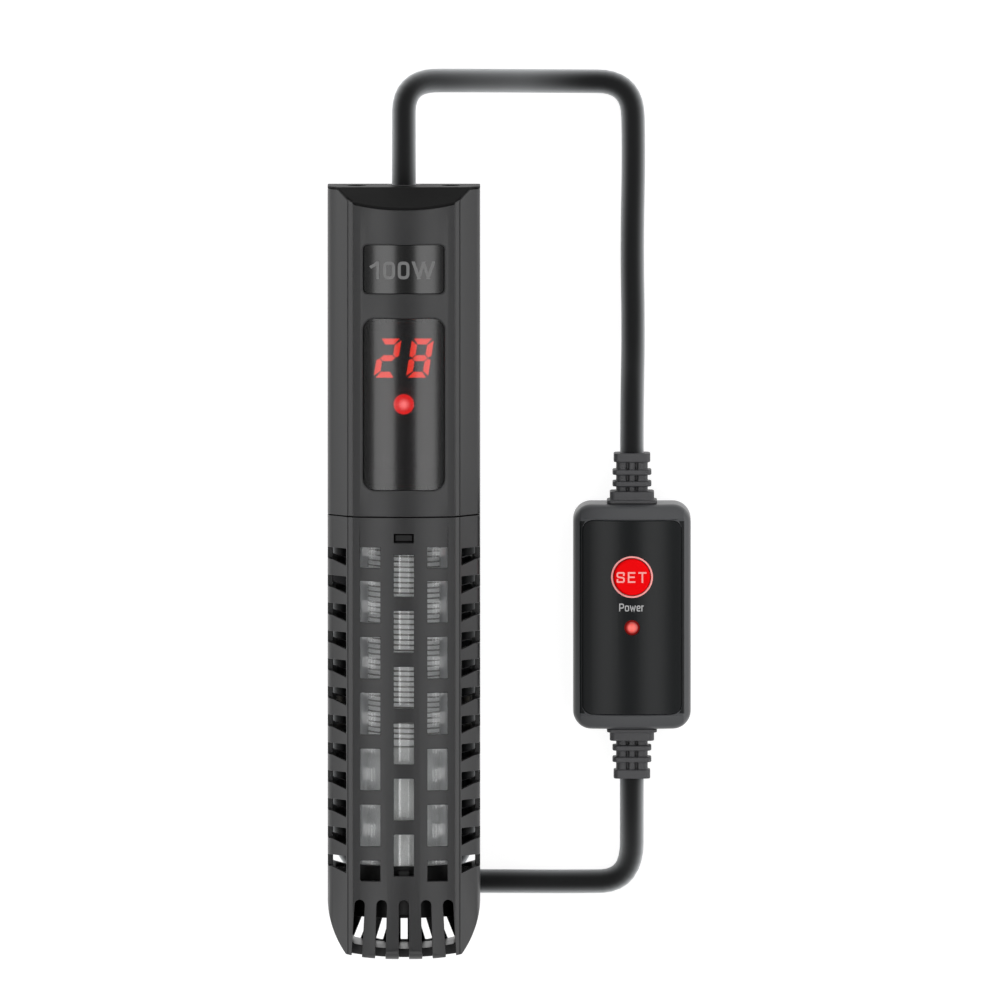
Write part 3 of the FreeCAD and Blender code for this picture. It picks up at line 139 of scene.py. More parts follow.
def add_node(tree: Tree, kind: str, values: Values | None = None) -> bpy.types.Node:
    """Add a node with its settings and links.

    Args:
        tree: The node tree that gets it.
        kind: The node's type name.
        values: Values, or sockets to link, by property name, input name or input number.

    Returns:
        The new node.
    """
    node = tree.nodes.new(kind)
    for key, value in (values or {}).items():
        if isinstance(value, bpy.types.NodeSocket):
            tree.links.new(value, node.inputs[key])
        elif isinstance(key, str) and hasattr(node, key):
            setattr(node, key, value)
        else:
            node.inputs[key].default_value = value
    return node


def outlet(tree: Tree, kind: str, values: Values, output: str | int = 0) -> Socket:
    """Add a node and give one of its outputs, the first unless another is named."""
    return add_node(tree, kind, values).outputs[output]


def maths(tree: Tree, operation: str, first: Socket, second: Socket | float) -> Socket:
    """Add a maths node for two values and give its result."""
    return outlet(tree, "ShaderNodeMath", {"operation": operation, 0: first, 1: second})


def for_rays(tree: Tree, *rays: str) -> Socket:
    """One for the named kinds of ray and nought for others."""
    path = add_node(tree, "ShaderNodeLightPath")
    return reduce(partial(maths, tree, "MAXIMUM"), [path.outputs[ray] for ray in rays])


def blended(tree: Tree, share: Socket, first: Colour, second: Colour) -> Socket:
    """Blend two colours by a share."""
    return outlet(tree, "ShaderNodeMix", {"data_type": "RGBA", 0: share, 6: first, 7: second}, 2)


def made_once(name: str, shader: Callable[[Tree], Socket]) -> bpy.types.Material:
    """Build a material at its first use and give the same one back after that.

    Args:
        name: The material's name.
        shader: Adds the shader's nodes to a tree and gives their output.

    Returns:
        The material.
    """
    material = bpy.data.materials.get(name)
    if material is None:
        material = bpy.data.materials.new(name)
        material.use_nodes = True
        tree = material.node_tree
        tree.nodes.clear()
        add_node(tree, "ShaderNodeOutputMaterial", {"Surface": shader(tree)})
    return material


def linear(hex_colour: str, factor: float = 1.0) -> Colour:
    """Turn an sRGB hex colour into linear RGBA.

    Args:
        hex_colour: Six hex digits after a hash.
        factor: What the linear value is multiplied by.

    Returns:
        Linear red, green, blue and a full alpha.
    """
    shown = (int(hex_colour[i : i + 2], 16) / 255 for i in (1, 3, 5))
    lit = (value / 12.92 if value <= 0.04045 else ((value + 0.055) / 1.055) ** 2.4 for value in shown)
    return (*(min(1.0, value * factor) for value in lit), 1.0)


class Surface(Enum):
    """How a surface was made, which gives its pattern."""

    MOULDED = "moulded"
    POLISHED = "polished"
    BRUSHED = "brushed"
    PACKED = "packed"
    WOVEN = "woven"


@dataclass(frozen=True)
class Finish:
    """One real material with the pattern that its making leaves.

    pattern is the pattern's size and relief its depth, both in millimetres; tone is how
    far the colour wanders, as a share. The glancing colour is mixed in as a painted sheen
    at a glancing view, standing for light reflected along the outline, and in glass also for
    the wall's milky haze; its share is how full it gets and its power how close it keeps to
    the outline.
    """

    name: str
    colour: str
    roughness: float
    surface: Surface = Surface.MOULDED
    pattern: float = 0.4
    relief: float = 0.01
    tone: float = 0.06
    ior: float = 1.5
    metallic: float = 0.0
    transmission: float = 0.0
    coat: float = 0.0
    sheen: float = 0.0
    specular: float = 0.5
    haze_and_painted_sheen: str = ""
    haze_and_painted_sheen_share: float = 1.0
    haze_and_painted_sheen_power: float = 1.0

    def material(self) -> bpy.types.Material:
        """The material of this finish."""
        return made_once(self.name, self.shader)

    def shader(self, tree: Tree) -> Socket:
        """Add the nodes of this finish.

        Args:
            tree: The material's node tree.

        Returns:
            The finished shader.
        """
        place = outlet(tree, "ShaderNodeTexCoord", {}, "Object")
        spread = CLOUD_PATTERNS * self.pattern * MM + CLOUD_LEAST
        noise = {"Scale": 1 / spread, "Detail": 3.0, "Vector": place}
        cloud = outlet(tree, "ShaderNodeTexNoise", noise, "Fac")
        dark, light = (linear(self.colour, 1 + sign * self.tone) for sign in (-1, 1))
        least, most = self.roughness * (1 - WEAR), min(1.0, self.roughness * (1 + WEAR))
        rough = {"To Min": least, "To Max": most, "Value": cloud}
        bump = {"Distance": self.relief * MM, "Strength": 1.0, "Height": self._grain(tree, place)}
        looks = {
            "IOR": self.ior,
            "Metallic": self.metallic,
            "Transmission Weight": self.transmission,
            "Coat Weight": self.coat,
            "Coat Roughness": self.roughness,
            "Sheen Weight": self.sheen,
            "Specular IOR Level": self.specular,
            "Base Color": blended(tree, cloud, dark, light),
            "Roughness": outlet(tree, "ShaderNodeMapRange", rough),
            "Normal": outlet(tree, "ShaderNodeBump", bump),
        }
        surface = outlet(tree, "ShaderNodeBsdfPrincipled", looks)
        if self.haze_and_painted_sheen:
            surface = self._add_haze_and_painted_sheen(tree, surface)
        if self.transmission:
            surface = self._lets_light_in(tree, surface)
        return surface

    def _add_haze_and_painted_sheen(self, tree: Tree, surface: Socket) -> Socket:
        """Mix a painted sheen, a pale diffuse colour, into a shader at a glancing view.

        Args:
            tree: The material's node tree.
            surface: The shader under it.

        Returns:
            The shader with its painted sheen.
        """
        glance = outlet(tree, "ShaderNodeLayerWeight", {"Blend": 0.5}, "Facing")
        share = maths(tree, "MULTIPLY", maths(tree, "POWER", glance, self.haze_and_painted_sheen_power), self.haze_and_painted_sheen_share)
        haze_and_painted_sheen = outlet(tree, "ShaderNodeBsdfDiffuse", {"Color": linear(self.haze_and_painted_sheen)})
        return outlet(tree, "ShaderNodeMixShader", {0: share, 1: surface, 2: haze_and_painted_sheen})

    def _lets_light_in(self, tree: Tree, surface: Socket) -> Socket:
        """Let shadow rays pass a clear wall's shader, so that the lamps shine through it."""
        gap = outlet(tree, "ShaderNodeBsdfTransparent", {"Color": linear(self.colour, 0.95)})
        return outlet(tree, "ShaderNodeMixShader", {0: for_rays(tree, "Is Shadow Ray"), 1: surface, 2: gap})

    def _grain(self, tree: Tree, place: Socket) -> Socket:
        """Pattern of the surface's making, as a height.

        Args:
            tree: The material's node tree.
            place: The coordinates that the pattern lies on.

        Returns:
            The socket that holds the height.
        """
        scale = 1 / (self.pattern * MM)
        if self.surface is Surface.WOVEN:
            wave = partial(outlet, tree, "ShaderNodeTexWave", output="Fac")
            thread = {"Scale": scale / 20, "Distortion": 0.4, "Detail": 1.0, "Vector": place}
            return maths(tree, "MULTIPLY", *(wave({"bands_direction": way, **thread}) for way in ("Y", "Z")))
        if self.surface is Surface.PACKED:
            return outlet(tree, "ShaderNodeTexVoronoi", {"Scale": scale, "Vector": place}, "Distance")
        if self.surface is Surface.BRUSHED:
            place = outlet(tree, "ShaderNodeMapping", {"Scale": (1.0, 0.06, 1.0), "Vector": place})
        detail = 1.0 if self.surface is Surface.POLISHED else 4.0
        return outlet(tree, "ShaderNodeTexNoise", {"Scale": scale, "Detail": detail, "Vector": place}, "Fac")


@dataclass(frozen=True)
class Lit:
    """A surface that glows, brighter within reach of a middle, in millimetres, if it has a core."""

    name: str
    edge: str
    strength: float
    core: str = ""
    middle: Point = (0.0, 0.0, 0.0)
    reach: float = 1.0

    def material(self) -> bpy.types.Material:
        """The material of this light."""
        return made_once(self.name, self.shader)

    def shader(self, tree: Tree) -> Socket:
        """Add the nodes of this light.

        Args:
            tree: The material's node tree.

        Returns:
            The glowing shader.
        """
        glow = linear(self.edge)
        if self.core:
            place = outlet(tree, "ShaderNodeTexCoord", {}, "Object")
            span = {"operation": "DISTANCE", 0: place, 1: tuple(v * MM for v in self.middle)}
            apart = outlet(tree, "ShaderNodeVectorMath", span, "Value")
            fall = {"interpolation_type": "SMOOTHSTEP", "From Max": self.reach * MM, "Value": apart}
            glow = blended(tree, outlet(tree, "ShaderNodeMapRange", fall), linear(self.core), glow)
        looks = {"Base Color": linear(self.edge, 0.5), "Roughness": 0.25}
        looks |= {"Emission Color": glow, "Emission Strength": self.strength}
        return outlet(tree, "ShaderNodeBsdfPrincipled", looks)


# Spark-eroded ABS moulding: an even satin with a fine grain.
SATIN_ABS = Finish("satin_moulded_abs", "#1b1b1c", 0.32, pattern=0.35, tone=0.05, specular=0.46)
# The cap is a separate, duller moulding of the same plastic.
CAP_ABS = Finish("dull_moulded_abs", "#080808", 0.5, pattern=0.35, relief=0.012, specular=0.1)
# A darker, duller copy of the body plastic paints shade on the latch tongue and the spigot under the guard.
LATCH_PAINTED_SHADE_ABS = Finish("latch_painted_shade_abs", "#121213", 0.5, pattern=0.35, relief=0.012, specular=0.3)
# Polished acrylic with a hard coat: soft clear reflections over near black.
BADGE_ACRYLIC = Finish(
    "polished_black_acrylic", "#090909", 0.16, Surface.POLISHED, 6.0, 0.002, tone=0.1, coat=0.46
)
SMOKED_ACRYLIC = Finish(
    "smoked_acrylic", "#333335", 0.16, Surface.POLISHED, 6.0, 0.001, tone=0.0, ior=1.49,
    transmission=1.0, coat=0.42,
)
CONTROLLER_ABS = Finish("gloss_moulded_abs", "#3a3b3d", 0.36, relief=0.006, tone=0.05, specular=0.4)
FACE_ACRYLIC = Finish(
    "gloss_printed_face", "#111314", 0.25, Surface.POLISHED, 5.0, 0.002, tone=0.1, specular=0.2
)
BUTTON_RED = Finish("red_moulded_button", "#e60409", 0.5, pattern=0.5, relief=0.004, tone=0.03, specular=0.03)
# Thin white ink lets a little of the red through.
INK_ON_RED = Finish("thin_white_ink", "#f09c98", 0.5, pattern=0.3, relief=0.003, tone=0.03)
PRINT_GREY = Finish("grey_pad_print", "#626262", 0.5, pattern=0.3, relief=0.003, tone=0.04)
PRINT_PALE = Finish("pale_pad_print", "#a8a8a8", 0.5, pattern=0.3, relief=0.003, tone=0.03)
# The quartz's pale glancing colour is partly the milky haze of the wall and partly painted brightness along
# the tube's edges.
QUARTZ = Finish(
    "drawn_quartz_glass", "#fbfcfc", 0.06, Surface.POLISHED, 5.0, 0.003, tone=0.0, ior=1.46,
    transmission=0.96, coat=1.0, haze_and_painted_sheen="#f2f4f6", haze_and_painted_sheen_share=0.7,
)
STEATITE = Finish("fired_steatite", "#f2f2f2", 0.55, pattern=0.5, relief=0.02, tone=0.05, ior=1.6)
RESISTANCE_WIRE = Finish(
    "oxidised_resistance_wire", "#77736f", 0.45, Surface.BRUSHED, 0.2, 0.004, metallic=0.6
)
QUARTZ_SAND = Finish("packed_quartz_sand", "#c6c6c5", 0.8, Surface.PACKED, 0.45, 0.12, tone=0.12)
BUNG_SILICONE = Finish("black_silicone", "#151515", 0.6, pattern=0.6, relief=0.02, sheen=0.1)
BOOT_RUBBER = Finish("moulded_rubber_boot", "#0b0b0b", 0.62, pattern=0.5, relief=0.02, specular=0.3)
CUP_RUBBER = Finish("suction_cup_rubber", "#17181a", 0.33, Surface.POLISHED, 3.0, 0.01)
# The sheath's pale glancing colour is a painted reflection of the white floor along the lead's edges.
SHEATH = Finish(
    "pvc_lead_sheath", "#08090a", 0.5, Surface.POLISHED, 2.0, 0.006, tone=0.08, specular=0.15,
    haze_and_painted_sheen="#f6f9fb", haze_and_painted_sheen_power=1.8,
)
RELIEF_PVC = Finish("moulded_pvc_relief", "#38383a", 0.5, relief=0.012)
SCREW_STEEL = Finish("zinc_plated_screw", "#8b8d90", 0.3, Surface.BRUSHED, 0.3, 0.006, metallic=1.0)
PROBE_STEEL = Finish("drawn_stainless_steel", "#b6b8ba", 0.25, Surface.BRUSHED, 0.3, 0.004, metallic=1.0)
PIN_BRASS = Finish("nickel_plated_brass", "#c9c2b2", 0.22, Surface.BRUSHED, 0.3, 0.004, metallic=1.0)
BOARD_LAMINATE = Finish("glass_epoxy_laminate", "#0f4a27", 0.35, pattern=0.8, tone=0.12)
MOULD_EPOXY = Finish("black_moulding_compound", "#161616", 0.5, pattern=0.3)
DIPPED_FILM = Finish("dipped_film_capacitor", "#9a4a12", 0.25, pattern=1.0, relief=0.02, tone=0.1)
WIRE_SLEEVE = Finish("silicone_wire_sleeve", "#c9c3b6", 0.5, pattern=0.6)
STRAP = Finish("woven_hook_strap", "#17171a", 0.85, Surface.WOVEN, 0.5, 0.12, tone=0.15, sheen=0.3)


# Meshes


def scene_object(name: str, data: bpy.types.ID) -> Piece:
    """Link a new object that holds some data into the scene."""
    bpy.context.scene.collection.objects.link(obj := bpy.data.objects.new(name, data))
    return obj


def mesh_object(name: str, bm: bmesh.types.BMesh, outward: bool = True) -> Piece:
    """Make an object from an edited mesh and free it.

    Args:
        name: The object's name.
        bm: The edited mesh, in metres.
        outward: Whether its faces are turned outward first.

    Returns:
        The linked object.
    """
    if outward:
        bmesh.ops.recalc_face_normals(bm, faces=bm.faces)
    mesh = bpy.data.meshes.new(name)
    bm.to_mesh(mesh)
    bm.free()
    return scene_object(name, mesh)


@contextmanager
def edited(mesh: bpy.types.Mesh) -> Iterator[bmesh.types.BMesh]:
    """Lend a mesh for editing and write it back afterwards.

    Args:
        mesh: The mesh.

    Yields:
        The mesh in its editable form.
    """
    bm = bmesh.new()
    bm.from_mesh(mesh)
    yield bm
    bm.to_mesh(mesh)
    bm.free()


def cut(bm: bmesh.types.BMesh, place: Vector, across: Point) -> None:
    """Cut a mesh along the plane across a direction through a place, and keep both halves."""
    everything = bm.verts[:] + bm.edges[:] + bm.faces[:]
    bmesh.ops.bisect_plane(bm, geom=everything, plane_co=place, plane_no=Vector(across), dist=1e-9)


def frozen(obj: Piece) -> Piece:
    """Turn an object with modifiers, or a curve, into a plain mesh of the same name.

    Args:
        obj: The object, which is removed.

    Returns:
        An object at the origin that holds the evaluated mesh.
    """
    name = obj.name
    graph = bpy.context.evaluated_depsgraph_get()
    mesh = bpy.data.meshes.new_from_object(obj.evaluated_get(graph))
    mesh.transform(obj.matrix_world)
    bpy.data.objects.remove(obj)
    mesh.name = name
    return scene_object(name, mesh)


def smooth_below(mesh: bpy.types.Mesh, degrees: float) -> None:
    """Shade a mesh smooth except across edges sharper than an angle."""
    mesh.shade_smooth()
    mesh.set_sharp_from_angle(angle=math.radians(degrees))


def settle(obj: Piece, finish: Finish | Lit, slot: str, *nodes: str, body: str = HEATER) -> Piece:
    """Give a piece its finish, its body and the nodes that it stands for.

    Args:
        obj: The piece, in place.
        finish: Its finish.
        slot: The record's material slot that it goes with; not used.
        nodes: Nodes that it replaces.
        body: The body that it rides on.

    Returns:
        The piece.
    """
    obj.data.materials.clear()
    obj.data.materials.append(finish.material())
    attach(obj, body)
    if nodes:
        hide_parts(*nodes)
    log.info("%s: %s%s", obj.name, finish.name, " for " + ", ".join(nodes) if nodes else "")
    return obj


@dataclass
class Assembly:
    """A sub-assembly, which dresses its nodes of the loaded frame or puts pieces in their place."""

    frame: dict

    def repaint(self, **finishes: Finish | Lit) -> None:
        """Give nodes that stay as they are better materials.

        Args:
            finishes: The finish of each node, by the node's name.
        """
        for node, finish in finishes.items():
            for material_slot in self.frame["nodes"][node].material_slots:
                material_slot.material = finish.material()
            log.info("%s: %s", node, finish.name)

    def dress(
        self, node: str, name: str, finish: Finish, slot: str, edge: float,
        rim: Callable[[Vector], bool] | None = None, rim_edge: float = 0.0, body: str = HEATER,
    ) -> Piece:
        """Put a copy in a node's place and round its sharp edges, as a mould does.

        Args:
            node: The node that it stands for.
            name: The copy's name.
            finish: Its finish.
            slot: The record's material slot that it goes with.
            edge: Width of the rounding.
            rim: Tells whether a point, in millimetres, is on a rim that is rounded more.
            rim_edge: Width of the rounding of that rim.
            body: The body that it rides on.

        Returns:
            The rounded copy.
        """
        bm = bmesh.new()
        bm.from_mesh(self.frame["nodes"][node].data)
        bmesh.ops.remove_doubles(bm, verts=bm.verts, dist=WELD * MM)
        bmesh.ops.dissolve_limit(bm, angle_limit=math.radians(FLAT_BEND), verts=bm.verts, edges=bm.edges)
        limit = math.radians(SHARP_BEND)
        if rim:
            sharp = [side for side in bm.edges if side.calc_face_angle(0.0) > limit]
            sharp = [side for side in sharp if all(rim(vert.co / MM) for vert in side.verts)]
            bmesh.ops.bevel(bm, geom=sharp, offset=rim_edge * MM, segments=5, profile=0.5, affect="EDGES")
        obj = mesh_object(name, bm, outward=False)
        stored = obj.data.attributes.get("custom_normal")
        if stored:
            obj.data.attributes.remove(stored)
        smooth_below(obj.data, SHARP_BEND)
        bevel = obj.modifiers.new("edge", "BEVEL")
        bevel.width = edge * MM
        bevel.segments = 2
        bevel.limit_method = "ANGLE"
        bevel.angle_limit = limit
        bevel.use_clamp_overlap = False
        bevel.harden_normals = True
        return settle(frozen(obj), finish, slot, node, body=body)


def lathe(name: str, profile: Profile, centre: Point, steps: int) -> Piece:
    """Turn an outline round an upright axis.

    Args:
        name: The object's name.
        profile: (radius, height) pairs from one pole or rim to the other.
        centre: Where the axis passes at height nought.
        steps: Faces round the axis.

    Returns:
        The turned object.
    """
    bm = bmesh.new()
    rings = []
    for radius, height in profile:
        ring = []
        for i in range(1 if radius < 1e-6 else steps):
            angle = 2 * math.pi * i / steps
            place = Vector((radius * math.cos(angle), radius * math.sin(angle), height))
            ring.append(bm.verts.new((place + Vector(centre)) * MM))
        rings.append(ring)
    for low, high in zip(rings, rings[1:]):
        for i in range(steps):
            j = (i + 1) % steps
            corners = [low[i % len(low)], low[j % len(low)], high[j % len(high)], high[i % len(high)]]
            unique = list(dict.fromkeys(corners))
            if len(unique) > 2:
                bm.faces.new(unique)
    obj = mesh_object(name, bm)
    smooth_below(obj.data, 35)
    return obj


def rounded_profile(corners: Profile, radius: float) -> list[Pair]:
    """Round the inner corners of an open outline.

    Args:
        corners: The outline's corners.
        radius: How far the rounding reaches from each corner, at most.

    Returns:
        The rounded outline.
    """
    points = [tuple(corners[0])]
    for before, at, after in zip(corners, corners[1:], corners[2:]):
        here = Vector(at)
        back = Vector(before) - here
        ahead = Vector(after) - here
        reach = min(radius, BEND_SHARE * back.length, BEND_SHARE * ahead.length)
        start = here + back.normalized() * reach
        end = here + ahead.normalized() * reach
        for i in range(BEND_STEPS + 1):
            t = i / BEND_STEPS
            spot = start * (1 - t) ** 2 + here * 2 * t * (1 - t) + end * t**2
            points.append((spot.x, spot.y))
    points.append(tuple(corners[-1]))
    return points


def extruded(name: str, outlines: Iterable[Profile], z0: float, z1: float) -> Piece:
    """Raise flat outlines into one mesh of straight blocks.

    Args:
        name: The object's name.
        outlines: Closed outlines as (x, y) pairs.
        z0: Level of the underside.
        z1: Level of the top.

    Returns:
        The object.
    """
    bm = bmesh.new()
    for outline in outlines:
        low = [bm.verts.new((x * MM, y * MM, z0 * MM)) for x, y in outline]
        high = [bm.verts.new((x * MM, y * MM, z1 * MM)) for x, y in outline]
        bm.faces.new(low)
        bm.faces.new(high)
        for i in range(len(low)):
            j = (i + 1) % len(low)
            bm.faces.new((low[i], low[j], high[j], high[i]))
    return mesh_object(name, bm)


# Letters as strokes on a unit box: width over height, whether bends are round, strokes.
GLYPHS: dict[str, tuple[float, bool, tuple[Profile, ...]]] = {
    "0": (0.66, True, (((0, 0.5), (0, 1), (1, 1), (1, 0), (0, 0), (0, 0.5)),)),
    "1": (0.6, False, (((0.84, 0), (0.84, 1)), ((0, 0.74), (0.42, 0.86), (0.7, 1)))),
    "E": (0.7, False, (((1, 1), (0, 1), (0, 0), (1, 0)), ((0, 0.52), (0.9, 0.52)))),
    "P": (0.62, True, (((0, 0), (0, 1)), ((0.1, 1), (1, 1), (1, 0.42), (0.1, 0.42)))),
    "S": (0.78, True, (((0.97, 0.76), (1, 1), (0, 1), (0, 0.55), (1, 0.45), (1, 0), (0, 0), (0.03, 0.24)),)),
    "T": (0.76, False, (((0, 1), (1, 1)), ((0.5, 0), (0.5, 1)))),
    "W": (
        1.28,
        False,
        (((0, 1), (0.26, 0)), ((0.26, 0), (0.5, 1)), ((0.5, 1), (0.74, 0)), ((0.74, 0), (1, 1))),
    ),
    "e": (0.5, True, (((0.1, 0.36), (1, 0.36), (1, 0.72), (0, 0.72), (0, 0), (0.9, 0)),)),
    "o": (0.54, True, (((0, 0.36), (0, 0.72), (1, 0.72), (1, 0), (0, 0), (0, 0.36)),)),
    "r": (0.3, True, (((0, 0), (0, 0.72)), ((0, 0.4), (0.1, 0.72), (1, 0.72)))),
    "w": (0.74, False, (((0, 0.72), (0.25, 0), (0.5, 0.6), (0.75, 0), (1, 0.72)),)),
}


def stroke_edges(points: Profile, width: float) -> tuple[list[Vector], list[Vector]]:
    """Both edges of a stroke with mitred bends; a steep straight one is cut level.

    Args:
        points: The stroke's middle line.
        width: Its width.

    Returns:
        The left and the right edge.
    """
    path = [Vector(point) for point in points]
    ways = [(after - before).normalized() for before, after in zip(path, path[1:])]
    ways = [ways[0], *ways, ways[-1]]
    steep = len(path) == 2 and abs(ways[0].y) > abs(ways[0].x)
    ends = {} if path[0] == path[-1] else {0: -1, len(path) - 1: 1}
    left, right = [], []
    for i, point in enumerate(path):
        along = (ways[i] + ways[i + 1]).normalized()
        side = Vector((-along.y, along.x))
        reach = width / 2 / max(MITRE_LEAST, side.dot(Vector((-ways[i].y, ways[i].x))))
        stretch = width / 2
        if steep:
            side = Vector((-math.copysign(1.0, along.y), 0.0))
            reach = width / 2 / abs(along.y)
            stretch = reach
        middle = point + along * ends.get(i, 0) * stretch
        left.append(middle + side * reach)
        right.append(middle - side * reach)
    return left, right


def lettering(name: str, text: str, width: float, height: float, stroke: float) -> Piece:
    """Flat letters that fill a box about the origin.

    Args:
        name: The object's name.
        text: The letters, of those in GLYPHS.
        width: Width of the box.
        height: Height of a capital.
        stroke: Width of the strokes.

    Returns:
        A mesh of the letters, whose underside is at level nought.
    """
    glyphs = [GLYPHS[letter] for letter in text]
    gap = (width - sum(glyph[0] for glyph in glyphs) * height) / (len(glyphs) - 1)
    bm = bmesh.new()
    x = (stroke - width) / 2
    layer = 0
    for share, is_round, strokes in glyphs:
        for corners in strokes:
            points = [(x + t * (share * height - stroke), (u - 0.5) * (height - stroke)) for t, u in corners]
            if is_round and len(points) > 2:
                points = rounded_profile(points, height)
            layer = (layer + 1) % PRINT_LEVELS
            top = PRINT_THICKNESS + PRINT_STEP * layer
            rows = []
            for a, b in zip(*stroke_edges(points, stroke)):
                spots = ((a, 0.0), (b, 0.0), (b, top), (a, top))
                rows.append([bm.verts.new((p.x * MM, p.y * MM, z * MM)) for p, z in spots])
            bm.faces.new(rows[0])
            bm.faces.new(rows[-1])
            for low, high in zip(rows, rows[1:]):
                for i in range(4):
                    bm.faces.new((low[i], low[i - 1], high[i - 1], high[i]))
        x += share * height + gap
    return mesh_object(name, bm)


def laid_on(obj: Piece, x: float, y: float, level: Level, step: float = 0.6) -> None:
    """Move a flat mesh on to a surface that is crowned across the part.

    Args:
        obj: The mesh, about the origin.
        x: Where its middle goes, across.
        y: Where its middle goes, along.
        level: The surface's level at a distance across from its crown.
        step: Spacing of the cuts that let it bend.
    """
    with edited(obj.data) as bm:
        cuts = int(max(abs(v.co.x) for v in bm.verts) / (step * MM))
        for i in range(-cuts, cuts + 1):
            cut(bm, Vector((i * step * MM, 0, 0)), (1, 0, 0))
        for vert in bm.verts:
            at = vert.co
            vert.co = Vector((at.x + x * MM, at.y + y * MM, at.z + level(at.x / MM) * MM))
        bmesh.ops.recalc_face_normals(bm, faces=bm.faces)


@dataclass
class Grower:
    """A geometry node tree with named sizes, which grows one plain mesh."""

    name: str
    sizes: dict[str, float]
    tree: Tree = field(init=False)
    inlet: bpy.types.Node = field(init=False)

    def __post_init__(self) -> None:
        """Make the tree with one input for each size."""
        self.tree = bpy.data.node_groups.new(self.name, "GeometryNodeTree")
        face = self.tree.interface
        face.new_socket("Geometry", in_out="INPUT", socket_type="NodeSocketGeometry")
        for label in self.sizes:
            face.new_socket(label, in_out="INPUT", socket_type="NodeSocketFloat")
        face.new_socket("Geometry", in_out="OUTPUT", socket_type="NodeSocketGeometry")
        self.inlet = add_node(self.tree, "NodeGroupInput")

    def size(self, label: str) -> Socket:
        """The socket of a named size."""
        return self.inlet.outputs[label]

    def grow(self, geometry: Socket, finish: Finish) -> Piece:
        """Close the tree, run it and turn its result into a plain mesh.

        Args:
            geometry: What the tree has made so far.
            finish: The finish that Set Material gives.

        Returns:
            The grown object.
        """
        whole = outlet(self.tree, "GeometryNodeRealizeInstances", {0: geometry})
        values = {"Material": finish.material(), "Geometry": whole}
        add_node(self.tree, "NodeGroupOutput", {0: outlet(self.tree, "GeometryNodeSetMaterial", values)})
        obj = scene_object(self.name, bpy.data.meshes.new(self.name))
        modifier = obj.modifiers.new("grow", "NODES")
        modifier.node_group = self.tree
        for item in self.tree.interface.items_tree:
            if item.in_out == "INPUT" and item.name in self.sizes:
                modifier[item.identifier] = float(self.sizes[item.name])
        return frozen(obj)


# The heater


